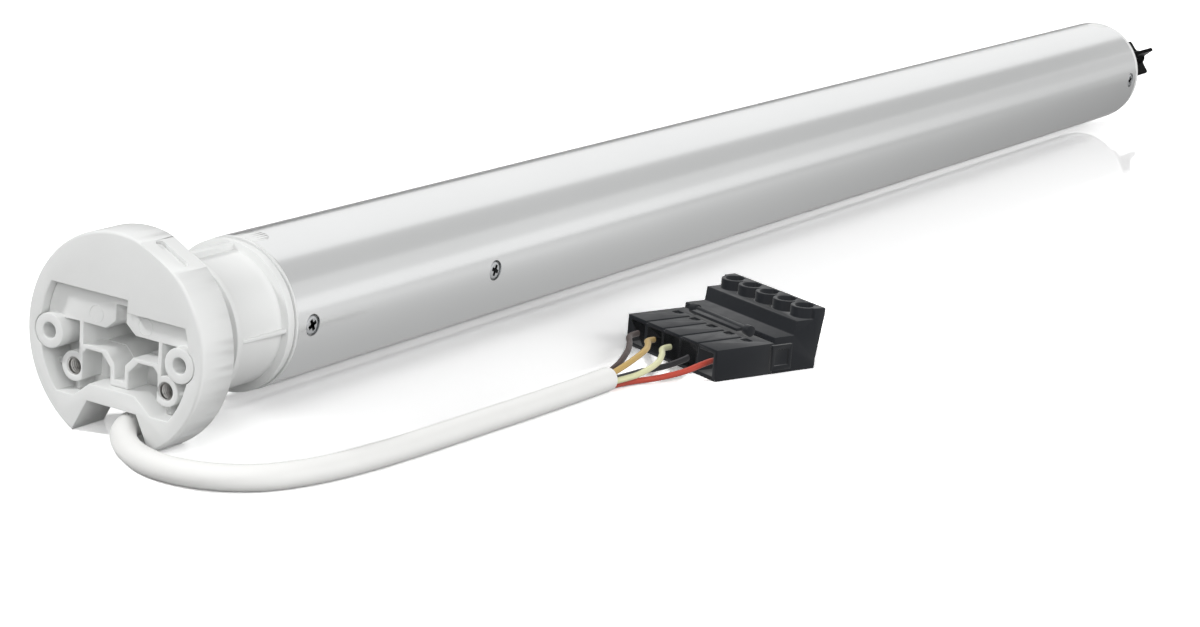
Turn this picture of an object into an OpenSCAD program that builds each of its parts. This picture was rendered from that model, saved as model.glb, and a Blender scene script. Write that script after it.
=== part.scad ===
// Tubular roller blind motor, lying on the two feet of its head.
// X runs from the head's mounting face to the output shaft and Z is up. The origin is
// midway between the head's two fixing holes, on the motor's axis. Units are millimetres.

/* [Tube] */
// Outer diameter of the motor tube
tube_d = 47; // [46:0.5:50]
// Wall thickness of the motor tube
tube_wall = 1.2; // [1:0.1:1.5]
// Length of the motor tube
tube_length = 660; // [640:5:760]
// Distance from the mounting face to the tube's edge
tube_start = 54.7; // [53:0.1:60]
// Width of the U-shaped notch at each end of the tube
notch_w = 8; // [6:0.5:10]
// Length of the U-shaped notch along the tube
notch_l = 9; // [7:0.5:10]
// Angle of the notches from the top, towards the cable side
notch_angle = 4; // [0:1:10]

/* [Head] */
// Radius of the head's disc
head_r = 32.4; // [31.6:0.2:33.4]
// Height of the disc's centre over the motor's axis
head_rise = 1.1; // [0.7:0.1:1.4]
// Thickness of the disc
head_t = 14.2; // [13:0.1:15]
// Radius of the disc's front edge
head_edge = 1.2; // [0.6:0.1:1.6]
// Height of the disc's low end that the feet's flats cut off
foot_cut = 3.8; // [3.2:0.1:4.4]
// Width of the flat under a foot
foot_w = 0.8; // [0.6:0.1:1.6]
// Half width of the cable notch at its top
cable_notch_w = 9.1; // [8.6:0.1:9.8]
// Height of the cable notch over the feet
cable_notch_h = 9.9; // [9.4:0.1:10.2]
// Thickness of the bar over the cable notch
bar_t = 5.3; // [4.6:0.1:5.4]
// Distance of the window's edge in from the disc's edge
window_in = 5; // [4.2:0.1:5.2]
// Height of the window's high edge
window_top = 14.8; // [14:0.1:15.4]
// Height of the window's low edge, past its step
window_step = 11.1; // [9:0.1:12]
// Depth of the plateau and of the ribs that frame the socket
rib_depth = 3; // [2:0.2:4]
// Depth of the plate that closes the head behind the ribs
plate_depth = 11.3; // [10:0.1:12]
// Depth of the drive socket
socket_depth = 24; // [18:0.5:26]

/* [Head fixings] */
// Distance of a fixing hole's centre in from the disc's edge
fixing_in = 8.4; // [7.9:0.1:8.9]
// Diameter of a fixing hole
fixing_d = 4.8; // [4.2:0.1:5.4]
// Outer diameter of a fixing boss
boss_d = 10.4; // [9.6:0.2:11]
// Distance of a threaded insert in from the fixing hole beside it
insert_in = 7; // [6.5:0.1:7.2]
// Height of the inserts below the axis
insert_drop = 9.6; // [9:0.1:9.8]
// Core diameter of the inserts' thread
insert_d = 4.2; // [3.6:0.1:4.3]

/* [Button] */
// Angle of the button's flat from the top, towards the cable side
pad_angle = 26.5; // [24:0.5:28]
// Depth of the flat in the disc's edge
pad_in = 1; // [0.8:0.1:1.3]
// Length of the button's slot
slot_l = 11.9; // [10:0.1:13]
// Width of the button's slot
slot_w = 3.4; // [2.8:0.1:4]
// Travel of the button
button_travel = 0.8; // [0.4:0.1:0.8]

/* [Crown] */
// Radius of the neck that the crown turns on
neck_r = 18; // [17:0.1:18.6]
// Radius of the crown's drum
drum_r = 20.7; // [20.2:0.1:21.4]
// Height of the crown's flange at the head, over the drum
crown_lip = 1.9; // [1.2:0.1:2]
// Length of the crown
crown_l = 26.2; // [24:0.1:26.2]
// Thickness of the head side flange
lip_t = 2.6; // [1.5:0.1:3]
// Thickness of the tube side flange
flange_t = 3.5; // [3:0.1:5]
// Width of the crown's wide ribs
key_rib_w = 3; // [2:0.5:5]
// Width of the crown's thin ribs
thin_rib_w = 1.2; // [1:0.1:3]

/* [Output] */
// Length of the star shaft past the tube
star_reach = 62.8; // [50:0.2:75]
// Tip radius of the star shaft's fins
star_r = 9; // [8.6:0.1:9.4]
// Thickness of a fin
fin_t = 1.9; // [1.6:0.1:2.6]
// Radius of the star shaft's core
core_r = 3.5; // [3:0.1:4.2]
// Angle of the first fin over the horizontal
star_angle = 38; // [0:1:89]
// Radius of the steel end plate
end_plate_r = 20.5; // [19:0.1:21.4]
// Radius of the output journal
journal_r = 7; // [6.4:0.1:7.4]

/* [Gearbox] */
// Module of the gears
gear_module = 0.9; // [0.86:0.01:0.92]
// Addendum of the stubbed teeth, in modules
tooth_add = 0.8; // [0.7:0.02:0.84]
// Play taken off each tooth at the pitch circle
tooth_play = 0.12; // [0.1:0.01:0.2]
// Width of the first stage's planets
width_1 = 14; // [10:0.5:16]
// Width of the second stage's planets
width_2 = 18; // [14:0.5:20]
// Width of the output stage's planets
width_3 = 26; // [20:0.5:28]
// Thickness of a carrier's plate
carrier_t = 5; // [4:0.5:6]
// Radius of a planet's pin
pin_r = 2.4; // [2:0.1:2.6]

/* [Motor] */
// Length of the stator's iron
stator_l = 120; // [90:1:130]
// Outer radius of the rotor's iron
rotor_r = 11.5; // [10:0.1:12]
// Radial air gap between rotor and stator
air_gap = 0.4; // [0.3:0.05:0.6]
// Length of the windings past the iron
winding_l = 14; // [10:0.5:16]
// Radius of the rotor's shaft
shaft_r = 3; // [2.6:0.1:3.4]
// Radius of the run capacitor
capacitor_r = 17.4; // [15:0.1:18.4]
// Length of the run capacitor
capacitor_l = 85; // [60:1:95]
// Travel of the brake's armature
brake_travel = 0.5; // [0.3:0.05:0.6]

/* [Screws] */
// Head diameter of the tube's screws
screw_head_d = 6.6; // [5.6:0.1:7]
// Shank diameter of the tube's screws
screw_d = 3; // [2.5:0.1:3.5]

/* [Cable] */
// Diameter of the cable
cable_d = 7.6; // [7:0.1:8]
// Diameter of a wire
wire_d = 2; // [1.6:0.1:2]

/* [Connector] */
// Distance between two poles
pole_pitch = 9; // [8.8:0.1:10]
// Side wall of the plug
plug_wall = 1; // [0.8:0.1:1.6]
// Length of the plug
plug_l = 24; // [22:0.5:27]
// Height of the plug
plug_h = 10.5; // [10.2:0.1:12]
// Width of a chamber
chamber_w = 7.2; // [6.6:0.1:7.6]
// Height of a chamber
chamber_h = 7.6; // [7:0.1:7.8]
// Length of the terminal block along its foot
block_l = 21; // [20:0.5:24]
// Height of the terminal block
block_h = 20.5; // [19.5:0.5:23]
// Radius of a screw well
well_r = 3.1; // [2.6:0.1:3.2]

/* [Hidden] */
$fn = 96;

// Clearances
fit = 0.1;          // radial fit of a fixed piece in its seat
run = 0.06;         // radial clearance of a turning piece
end_gap = 0.3;      // side clearance of a turning piece
slide = 0.25;       // clearance round a sliding piece
eps = 0.5;          // overlap of a cutting shape past a face

// Colours
white_plastic = [0.93, 0.93, 0.92];
grey_plastic = [0.75, 0.76, 0.76];
black_plastic = [0.09, 0.09, 0.1];
satin_aluminium = [0.77, 0.78, 0.79];
steel = [0.6, 0.61, 0.62];
dark_steel = [0.25, 0.25, 0.26];
brass = [0.78, 0.62, 0.3];
copper = [0.72, 0.42, 0.25];
board_green = [0.1, 0.35, 0.2];
rubber_black = [0.07, 0.07, 0.07];

// Derived places along the axis
tube_r = tube_d / 2;
bore_r = tube_r - tube_wall;
plug_r = bore_r - fit;
tube_end = tube_start + tube_length;

// Head
foot_drop = head_r - head_rise - foot_cut;
foot_gap = sqrt(pow(head_r, 2) - pow(foot_drop + head_rise, 2)) - foot_w;
floor_z = -foot_drop;
cable_notch_z = foot_drop - cable_notch_h;
window_r = head_r - window_in;
pad_r = head_r - pad_in;
fixing_y = head_r - fixing_in;
insert_y = fixing_y - insert_in;
bar_top = cable_notch_z - bar_t;
bar_half = 8.3;
window_floor = cable_notch_z - 0.6;
window_step_y = -4.7;
wall_y = insert_y - 1.7;
socket_half = insert_y - 3.15;
deep_half = socket_half - 1.85;
socket_floor = 2.4;
plateau_low = 4.1;
rib_t = 1.2;
insert_wall = 0.45;
pocket_half = 1.9;
pocket_wall = 1.5;
pocket_drop = 10.2;
collar_r = neck_r + 1.5;

// Crown, between the collar and the tube plug's flange
plug_flange_t = 0.75;
plug_flange_x = tube_start - plug_flange_t;
crown_end = plug_flange_x - end_gap;
crown_start = crown_end - crown_l;
collar_end = crown_start - end_gap;
plug_end = tube_start + 29.3;
neck_end = plug_end - 2;
neck_bore_r = 14;
neck_bore_x = 30;

// Screw stations along the tube
screw_in = 6.8;
board_flange_x = tube_start + 95.3;
board_flange_l = 16;
screw_stations = [tube_start + screw_in, board_flange_x + board_flange_l / 2, tube_end - screw_in];
screw_head_t = 1.2;
screw_seat_r = tube_r - tube_wall - 0.2;
screw_shank = 3.4;

// Gearbox, placed from the tube's far end
cap_spigot = 24;
cap_flange_t = 3;
end_plate_t = 6;
out_plate_t = 8;
out_boss_l = 16;
out_plate_x = tube_end - 38.7;
plate_2_x = out_plate_x - width_3 - 2 * end_gap - carrier_t;
plate_1_x = plate_2_x - width_2 - 2 * end_gap - carrier_t;
sun_1_end = plate_1_x - end_gap;
gear_start = sun_1_end - width_1 - 6;
box_flange_t = 6;
box_flange_x = gear_start - box_flange_t;
sun_teeth = 12;
planet_teeth = 15;
ring_teeth = sun_teeth + 2 * planet_teeth;
pressure = 20;
orbit_r = gear_module * (sun_teeth + planet_teeth) / 2;
tooth_ded = 1.15;
ring_tip_r = gear_module * (ring_teeth / 2 - tooth_add);
carrier_r = ring_tip_r - 0.5;

// Brake and motor, placed from the gearbox
brake_plate_t = 4;
brake_disc_t = 4.7;
armature_t = 3.2;
coil_l = 26.7;
brake_plate_x = box_flange_x - 2 - brake_plate_t;
brake_disc_x = brake_plate_x - end_gap - brake_disc_t;
armature_x = brake_disc_x - end_gap - armature_t;
coil_x = armature_x - brake_travel - end_gap - coil_l;
motor_flange_t = 7;
rear_flange_x = coil_x - 5 - motor_flange_t;
stator_x = rear_flange_x - 18 - stator_l;
front_flange_x = stator_x - 19 - motor_flange_t;
shaft_gap = 1.5;
bearing_t = 5;
bearing_r = 8;
capacitor_x = board_flange_x + board_flange_l + 34;
capacitor_ring_l = 8;
board_t = 1.6;

// Connector, lying on the floor at the cable's end
poles = 5;
conn_x = 192.4;
conn_y = -71.5;
conn_yaw = -21;
plug_w = poles * pole_pitch + 2 * plug_wall;
chamber_floor = 1.4;
pole_y = [for (i = [0:poles - 1]) (i - (poles - 1) / 2) * pole_pitch];

// A route whose heights are counted from the floor
function on_floor(route) = [for (p = route) [p[0], p[1], floor_z + p[2]]];

// The cable's route, from the strain relief to the end of its sheath
cable_points = on_floor([[8, -3.4, 5.1], [2.5, -4.3, 4.7], [-3.6, -8, 4.2], [-10.2, -15.9, 3.9],
    [-14.6, -25.5, 3.8], [-15.4, -35.5, 3.8], [-12.6, -45.8, 3.8], [-6.4, -54.3, 3.8],
    [2.2, -60.1, 3.8], [17, -65, 3.8], [36, -68, 3.8], [60, -69.8, 3.8], [85, -71, 3.8],
    [110, -72.3, 3.8], [134, -73.2, 3.8], [150, -73.5, 3.8]]);
// Where a wire meets its clamp in the plug, at the given pole
clamp_x = 15;
clamp_z = chamber_floor + 3.9;
function clamp_point(pole) = let (y = pole_y[pole])
    [conn_x + clamp_x * cos(conn_yaw) - y * sin(conn_yaw),
        conn_y + clamp_x * sin(conn_yaw) + y * cos(conn_yaw), clamp_z];

// The wires' routes, from the sheath's end into the plug's chambers
brown_points = on_floor([[150, -72, 4.6], [160, -71, 5.9], [172, -67, 6.9], [184, -60.6, 6.1],
    [193, -55.4, 5.5], [202.6, -55.8, 5.3], clamp_point(4)]);
yellow_points = on_floor([[150, -74.4, 5.3], [161, -74.5, 7.1], [174, -72.4, 8.1], [185, -67, 6.9],
    [192, -63, 5.7], [199.4, -64.2, 5.3], clamp_point(3)]);
white_points = on_floor([[150, -75.2, 3.1], [161, -78, 3.9], [172, -78.2, 5.3], [181, -74.8, 5.7],
    [189, -70.6, 5.3], [196.2, -72.6, 5.3], clamp_point(2)]);
black_points = on_floor([[150, -72, 2.7], [160, -72.6, 2.1], [171, -73.6, 1.9], [181, -77, 2.5],
    [188, -79.6, 3.9], [193, -81.2, 5.3], clamp_point(1)]);
red_points = on_floor([[150, -73.8, 1.3], [160, -76, 1.2], [170, -81, 1.7], [178, -85.4, 3.1],
    [185, -88, 4.7], [189.8, -89.6, 5.3], clamp_point(0)]);

// General shapes

module along_x(x0, x1) {
    translate([x0, 0, 0]) rotate([90, 0, 90]) linear_extrude(x1 - x0) children();
}

module disc_x(x0, x1, r) {
    translate([x0, 0, 0]) rotate([0, 90, 0]) cylinder(h = x1 - x0, r = r);
}

module ring_x(x0, x1, r_out, r_in) {
    difference() {
        disc_x(x0, x1, r_out);
        disc_x(x0 - eps, x1 + eps, r_in);
    }
}

// A solid of revolution about X, from points of radius and place along X
module turned(points) {
    rotate([0, 90, 0]) rotate_extrude() polygon(points);
}

module rounded_slot(length, width) {
    square([width, length - width], center = true);
    for (s = [-1, 1]) translate([0, s * (length - width) / 2]) circle(d = width);
}

module both_sides() {
    children();
    mirror([0, 1, 0]) children();
}

// A piece that lies on the side of the tube, at the cable side and opposite it
module at_tube_side(x) {
    for (a = [90, -90]) translate([x, 0, 0]) rotate([a, 0, 0]) children();
}

// Smooth routes and round tubes

function blend_point(p, i, t) =
    let (a = p[max(i - 1, 0)], b = p[i], c = p[i + 1], d = p[min(i + 2, len(p) - 1)])
    0.5 * (2 * b + (c - a) * t + (2 * a - 5 * b + 4 * c - d) * t * t
        + (3 * b - a - 3 * c + d) * t * t * t);

function smooth_route(p, steps) = concat(
    [for (i = [0:len(p) - 2], k = [0:steps - 1]) blend_point(p, i, k / steps)], [p[len(p) - 1]]);

function unit(v) = v / norm(v);

function heading(p, i) = unit(p[min(i + 1, len(p) - 1)] - p[max(i - 1, 0)]);

function ring_at(p, i, r, sides, first, last) =
    let (h = i == 0 ? first : i == len(p) - 1 ? last : heading(p, i),
        side = unit(cross([0, 0, 1], h)), up = cross(h, side))
    [for (k = [0:sides - 1]) p[i] + r * (cos(360 * k / sides) * side + sin(360 * k / sides) * up)];

// A tube swept along a route, with its ends square to the two given headings
module swept_tube(route, d, sides, steps, first, last) {
    p = smooth_route(route, steps);
    rings = [for (i = [0:len(p) - 1]) each ring_at(p, i, d / 2, sides, first, last)];
    n = len(p);
    walls = [for (i = [0:n - 2], k = [0:sides - 1], half = [0, 1])
        let (a = i * sides + k, b = i * sides + (k + 1) % sides)
        half == 0 ? [a, a + sides, b] : [b, a + sides, b + sides]];
    start = [for (k = [1:sides - 2]) [0, k, k + 1]];
    end = [for (k = [1:sides - 2]) [(n - 1) * sides, (n - 1) * sides + k + 1, (n - 1) * sides + k]];
    polyhedron(points = rings, faces = concat(walls, start, end));
}

// Involute gears, drawn with three points on each flank

function involute(a) = tan(a) * 180 / PI - a;

function half_tooth(r, pitch_r, half) =
    let (base_r = pitch_r * cos(pressure))
    half + involute(pressure) - (r > base_r ? involute(acos(base_r / r)) : 0);

function gear_outline(teeth, root_r, tip_r, play) =
    let (pitch_r = gear_module * teeth / 2, half = 90 / teeth - play * 90 / (PI * pitch_r),
        radii = [root_r, pitch_r, tip_r])
    [for (i = [0:teeth - 1], s = [-1, 1], k = [0:2])
        let (r = s < 0 ? radii[k] : radii[2 - k], a = 360 * i / teeth + s * half_tooth(r, pitch_r, half))
        [r * cos(a), r * sin(a)]];

function outer_gear(teeth) = gear_outline(teeth, gear_module * (teeth / 2 - tooth_ded),
    gear_module * (teeth / 2 + tooth_add), tooth_play);

module sun_gear(x0, x1) {
    along_x(x0, x1) polygon(outer_gear(sun_teeth));
}

module planet_gear(x0, width, place) {
    rotate([place * 120, 0, 0]) along_x(x0, x0 + width) translate([orbit_r, 0]) difference() {
        polygon(outer_gear(planet_teeth));
        circle(r = pin_r + run);
    }
}

// A carrier's plate with its three pins, which reach through the planets before it
module carrier_plate(plate_x, plate_t, planet_w) {
    disc_x(plate_x, plate_x + plate_t, carrier_r);
    for (place = [0:2]) rotate([place * 120, 0, 0]) translate([0, orbit_r, 0])
        disc_x(plate_x - end_gap - planet_w, plate_x + 1, pin_r);
}

// Head

module window_outline(gap) {
    corner = bar_half + 5.9;
    intersection() {
        translate([0, head_rise]) circle(r = window_r - gap);
        polygon([[40, window_top - gap], [window_step_y + gap, window_top - gap],
            [window_step_y + gap, window_step - gap], [-40, window_step - gap],
            [-40, gap - window_floor], [-corner - gap, gap - window_floor], [-bar_half, gap - bar_top],
            [bar_half, gap - bar_top], [corner + gap, gap - window_floor], [40, gap - window_floor]]);
    }
}

module foot_notch_outline() {
    slope = (foot_gap - cable_notch_w) / (foot_drop - cable_notch_z);
    low = foot_gap + 8 * slope;
    polygon([[-cable_notch_w, -cable_notch_z], [cable_notch_w, -cable_notch_z],
        [low, floor_z - 8], [-low, floor_z - 8]]);
    translate([-40, floor_z - 12]) square([80, 12]);
}

module at_pad() {
    translate([0, 0, head_rise]) rotate([pad_angle, 0, 0]) children();
}

slot_x = 7;
pocket_x = 3;
rim_t = 2.4;
switch_w = 6;
switch_seat = pad_r - 9;
pocket_low = window_top + 1.8;
switch_body = 2.6;
plunger = 0.7;
stem_low = switch_seat + switch_body + plunger + button_travel + 0.1;

module head_disc() {
    fillet = [for (a = [0:15:90])
        [head_r - head_edge + head_edge * sin(a), head_edge * (1 - cos(a))]];
    translate([0, 0, head_rise])
        turned(concat([[0, 0]], fillet, [[head_r, head_t - 0.6], [head_r - 0.6, head_t], [0, head_t]]));
}

module back_pocket_outline() {
    intersection() {
        translate([0, head_rise]) circle(r = head_r - rim_t);
        translate([-head_r, pocket_low]) square([2 * head_r, head_r]);
    }
}

module head_cover() {
    color(white_plastic) {
        difference() {
            head_disc();
            along_x(-eps, head_t + eps) window_outline(0);
            along_x(-eps, head_t + eps) foot_notch_outline();
            both_sides() translate([0, fixing_y, 0]) disc_x(-eps, head_t + eps, boss_d / 2 + slide);
            along_x(pocket_x, head_t + eps) difference() {
                back_pocket_outline();
                for (y = [0.2, 9]) translate([y, 0]) square([1.4, head_r + 2]);
            }
            at_pad() translate([-eps, -head_r / 2, pad_r]) cube([head_t + 2 * eps, head_r, 10]);
            at_pad() translate([slot_x, 0, pad_r - 5]) linear_extrude(10) rounded_slot(slot_l, slot_w);
        }
        at_pad() translate([pocket_x - eps, -3.6, pocket_low]) cube([7.6, 7.2, switch_seat - pocket_low]);
    }
}

module programming_button() {
    color(white_plastic) at_pad() translate([slot_x, 0, 0]) {
        translate([0, 0, stem_low]) linear_extrude(pad_r - 0.9 - stem_low)
            rounded_slot(slot_l - 2 * slide, slot_w - 2 * slide);
        translate([0, 0, stem_low + 0.6]) linear_extrude(1.2) rounded_slot(slot_l + 1.6, slot_w + 1.6);
    }
}

module button_switch() {
    color(dark_steel) at_pad() translate([slot_x, 0, switch_seat]) {
        translate([-switch_w / 2, -switch_w / 2, 0]) cube([switch_w, switch_w, switch_body]);
        cylinder(h = switch_body + plunger, r = 1.7);
    }
}

// The socket, a wide slot with a narrow one through its middle
module socket_outline(half, gap) {
    floor_y = gap - socket_floor;
    slant = 3;
    pocket = pocket_half - gap;
    low = plateau_low - gap;
    roof = 7 - gap;
    top = 11.9 - gap;
    polygon([[pocket, gap - pocket_drop], [pocket, floor_y - slant], [pocket + slant, floor_y],
        [half, floor_y], [half, low], [pocket + 3.6, low], [pocket, roof], [pocket, top],
        [-pocket, top], [-pocket, roof], [-pocket - 3.6, low], [-half, low], [-half, floor_y],
        [-pocket - slant, floor_y], [-pocket, floor_y - slant], [-pocket, gap - pocket_drop]]);
}

module side_hollow_outline() {
    low = pocket_half + pocket_wall;
    slant = 3.4;
    corner = 1.5;
    rib_low = socket_floor + rib_t;
    polygon([[socket_half, -rib_low - corner], [socket_half - corner, -rib_low],
        [low + slant, -rib_low], [low, -rib_low - slant], [low, -bar_top - 1],
        [socket_half, -bar_top - 1]]);
}

module insert_boss() {
    boss_r = 4.5;
    translate([0, insert_y, -insert_drop]) disc_x(rib_depth, head_t, boss_r);
    along_x(rib_depth + 2, plate_depth + eps) translate([insert_y, -insert_drop - 0.7])
        square([fixing_y + 0.3 - insert_y, 1.4]);
    along_x(rib_depth + 2, plate_depth + eps) translate([insert_y - 0.7, 0.3 - window_floor])
        square([1.4, 6]);
}

module head_body() {
    insert_r = insert_d / 2 + insert_wall + fit;
    color(white_plastic) difference() {
        union() {
            along_x(plate_depth, head_t + eps) window_outline(fit);
            along_x(rib_depth, head_t - 0.2) intersection() {
                window_outline(fit);
                translate([-40, plateau_low]) square([80, 40]);
            }
            along_x(rib_depth, head_t - 0.1) translate([-wall_y, fit - bar_top])
                square([2 * wall_y, plateau_low + bar_top + 0.4]);
            both_sides() translate([0, fixing_y, 0]) disc_x(0, head_t, boss_d / 2);
            both_sides() insert_boss();
            disc_x(head_t, collar_end, collar_r);
            disc_x(head_t, neck_end, neck_r);
        }
        both_sides() translate([0, fixing_y, 0]) disc_x(-eps, head_t - 1.3, fixing_d / 2);
        both_sides() translate([0, insert_y, -insert_drop])
            disc_x(rib_depth - eps, head_t - 2, insert_r);
        along_x(-eps, plate_depth) socket_outline(socket_half, 0);
        along_x(plate_depth - 1, socket_depth) socket_outline(deep_half, 0.1);
        both_sides() along_x(-eps, plate_depth + 0.2) side_hollow_outline();
        disc_x(neck_bore_x, neck_end + eps, neck_bore_r);
        translate([0, relief_y, relief_z])
            disc_x(head_t - eps, collar_end - 1.4, relief_r + slide);
    }
}

module threaded_inserts() {
    color(brass) both_sides() translate([0, insert_y, -insert_drop])
        ring_x(rib_depth + 0.4, head_t - 2.2, insert_d / 2 + insert_wall, insert_d / 2);
}

// Crown and tube

module idler_crown() {
    lip_r = drum_r + crown_lip;
    flange_r = tube_r - 0.3;
    bore = neck_r + run;
    color(white_plastic) {
        turned([[bore, crown_start], [lip_r - 0.3, crown_start], [lip_r, crown_start + 0.3],
            [lip_r, crown_start + lip_t], [drum_r, crown_start + lip_t],
            [drum_r, crown_end - flange_t], [flange_r - 0.3, crown_end - flange_t],
            [flange_r, crown_end - flange_t + 0.3], [flange_r, crown_end - 1.5],
            [flange_r - 0.5, crown_end - 1.2], [flange_r - 0.5, crown_end], [bore, crown_end]]);
        for (k = [0:1]) {
            rotate([180 * k, 0, 0]) crown_rib(key_rib_w, crown_lip - 0.1);
            rotate([180 * k + 90, 0, 0]) crown_rib(thin_rib_w, 0.3);
        }
    }
}

// A rib along the crown's drum, whose height at the head's side is given
module crown_rib(w, low) {
    x0 = crown_start + lip_t - eps;
    x1 = crown_end - flange_t + eps;
    rotate([90, 0, 0]) translate([0, 0, -w / 2]) linear_extrude(w)
        polygon([[x0, drum_r - 1], [x1, drum_r - 1], [x1, drum_r + crown_lip - 0.1],
            [x0, drum_r + low]]);
}

// A block in the shape of the U notch, open at one end of the tube
module notch_block(edge_x, inward, gap) {
    w = notch_w - 2 * gap;
    reach = notch_l - notch_w / 2;
    rotate([notch_angle, 0, 0]) translate([edge_x, 0, 0]) {
        translate([inward * reach, 0, 0]) cylinder(h = tube_r + 2, d = w);
        translate([inward > 0 ? -eps : -reach, -w / 2, 0]) cube([reach + eps, w, tube_r + 2]);
    }
}

// The key of an end piece, which fills the tube's notch
module notch_key(edge_x, inward) {
    intersection() {
        notch_block(edge_x, inward, fit);
        ring_x(edge_x - 12, edge_x + 12, tube_r, plug_r - 1);
        disc_x(inward > 0 ? edge_x : edge_x - 12, inward > 0 ? edge_x + 12 : edge_x, tube_r + 1);
    }
}

// What a tube screw needs cut in the piece that it holds
module screw_seat() {
    cylinder(h = tube_r + 1, r = screw_d / 2 + 0.02);
    translate([0, 0, screw_seat_r]) cylinder(h = 4, r = screw_head_d / 2 + fit);
}

module tube_plug() {
    color(white_plastic) {
        difference() {
            union() {
                disc_x(plug_flange_x, tube_start, tube_r - 0.2);
                disc_x(plug_flange_x, plug_end, plug_r);
            }
            disc_x(plug_flange_x - eps, neck_end + 0.2, neck_r + run);
            disc_x(neck_end, plug_end + eps, neck_bore_r);
            at_tube_side(screw_stations[0]) screw_seat();
        }
        notch_key(tube_start, 1);
    }
}

module motor_tube() {
    color(satin_aluminium) difference() {
        ring_x(tube_start, tube_end, tube_r, bore_r);
        notch_block(tube_start, 1, 0);
        notch_block(tube_end, -1, 0);
        for (x = screw_stations) at_tube_side(x) cylinder(h = tube_r + 2, r = screw_head_d / 2 + fit);
    }
}

module tube_screws() {
    color(steel) for (x = screw_stations) at_tube_side(x) {
        translate([0, 0, screw_seat_r + 0.02 - screw_shank]) cylinder(h = screw_shank + 0.1, d = screw_d);
        translate([0, 0, screw_seat_r + 0.02]) difference() {
            cylinder(h = screw_head_t, d = screw_head_d);
            translate([0, 0, screw_head_t - 0.7]) linear_extrude(2) polygon([for (k = [0:11])
                let (r = k % 2 == 0 ? 1.7 : 1.1) [r * cos(30 * k), r * sin(30 * k)]]);
        }
    }
}

// Cable entry

relief_y = cable_points[0][1];
relief_z = cable_points[0][2];
relief_x = cable_points[0][0];
relief_r = 4.7;

module cable_plug() {
    color(white_plastic) difference() {
        translate([head_t + 0.2, relief_y - 7, floor_z + 0.4])
            cube([collar_end - head_t - 0.7, 14, foot_drop - 14]);
        disc_x(head_t - 1, collar_end + 1, collar_r + fit);
        translate([0, relief_y, relief_z]) disc_x(head_t - 1, collar_end - 1.4, relief_r + fit);
    }
}

module strain_relief() {
    tip = cable_d / 2 + 0.3;
    color(white_plastic) translate([0, relief_y, relief_z])
        turned([[0, relief_x], [tip, relief_x], [relief_r - 0.2, head_t - 0.4], [relief_r, head_t + 0.2],
            [relief_r, collar_end - 1.6], [0, collar_end - 1.6]]);
}

cable_end = [1, 0, 0];
wire_exit = [cos(conn_yaw), sin(conn_yaw), 0];

module power_cable() {
    color(white_plastic) swept_tube(cable_points, cable_d, 10, 2, [-1, 0, 0], cable_end);
}

module wire(points, shade) {
    color(shade) swept_tube(points, wire_d, 8, 2, cable_end, wire_exit);
}

module wire_brown() { wire(brown_points, [0.35, 0.22, 0.16]); }

module wire_yellow() { wire(yellow_points, [0.8, 0.66, 0.25]); }

module wire_white() { wire(white_points, [0.92, 0.9, 0.72]); }

module wire_black() { wire(black_points, [0.08, 0.08, 0.09]); }

module wire_red() { wire(red_points, [0.75, 0.2, 0.12]); }

// Connector

module at_connector() {
    translate([conn_x, conn_y, floor_z]) rotate([0, 0, conn_yaw]) children();
}

chamber_l = plug_l - 2;
step_x = plug_l + 9;
ridge_x = plug_l + 12;
block_end = plug_l + block_l;
shelf_h = plug_h + 1.8;
lever_x = plug_l - 3.4;
lever_z = plug_h + 2.1;
lever_r = 1.9;
well_x = ridge_x + 4.2;

module plug_housing() {
    color(black_plastic) at_connector() difference() {
        translate([0, -plug_w / 2, 0]) cube([plug_l, plug_w, plug_h]);
        for (y = pole_y) {
            translate([-eps, y - chamber_w / 2, chamber_floor])
                cube([chamber_l + eps, chamber_w, chamber_h]);
            translate([lever_x - 4.4, y - 0.6, plug_h - 0.8]) cube([2.8, 3.4, 2]);
        }
        for (i = [0:poles - 2]) translate([-eps, (pole_y[i] + pole_y[i + 1]) / 2 - 0.5, plug_h - 0.7])
            cube([lever_x - 2, 1, 2]);
    }
}

module terminal_housing() {
    ridge_h = block_h - 3.5;
    color(black_plastic) at_connector() difference() {
        union() {
            rotate([90, 0, 0]) translate([0, 0, -plug_w / 2]) linear_extrude(plug_w)
                polygon([[plug_l, 0], [block_end - 2.5, 0], [block_end - 2.5, 3], [block_end, block_h - 2],
                    [block_end, block_h], [well_x, block_h], [well_x, ridge_h], [step_x, ridge_h],
                    [step_x - 0.6, shelf_h], [plug_l, shelf_h]]);
            for (y = pole_y) translate([well_x, y, shelf_h])
                cylinder(h = block_h - shelf_h, r = pole_pitch / 2 - 0.1);
        }
        for (y = pole_y) {
            translate([well_x, y, block_h - 9]) cylinder(h = 12, r = well_r);
            translate([block_end - 2.6, y - 1.6, block_h - 3]) cube([1.5, 3.2, 4]);
            translate([block_end - 12, y - 2.9, 3.6]) cube([16, 5.8, 6]);
        }
    }
}

module terminal_screws() {
    color(steel) at_connector() for (y = pole_y) translate([well_x, y, block_h - 8.9]) difference() {
        cylinder(h = 2.4, r = well_r - 0.1);
        translate([-3.5, -0.4, 1.6]) cube([7, 0.8, 2]);
    }
}

module wire_clamps() {
    color(brass) at_connector() for (y = pole_y)
        translate([clamp_x, y - chamber_w / 2 + fit, chamber_floor + fit])
            cube([chamber_l - clamp_x - fit, chamber_w - 2 * fit, chamber_h - 2 * fit]);
}

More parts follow.
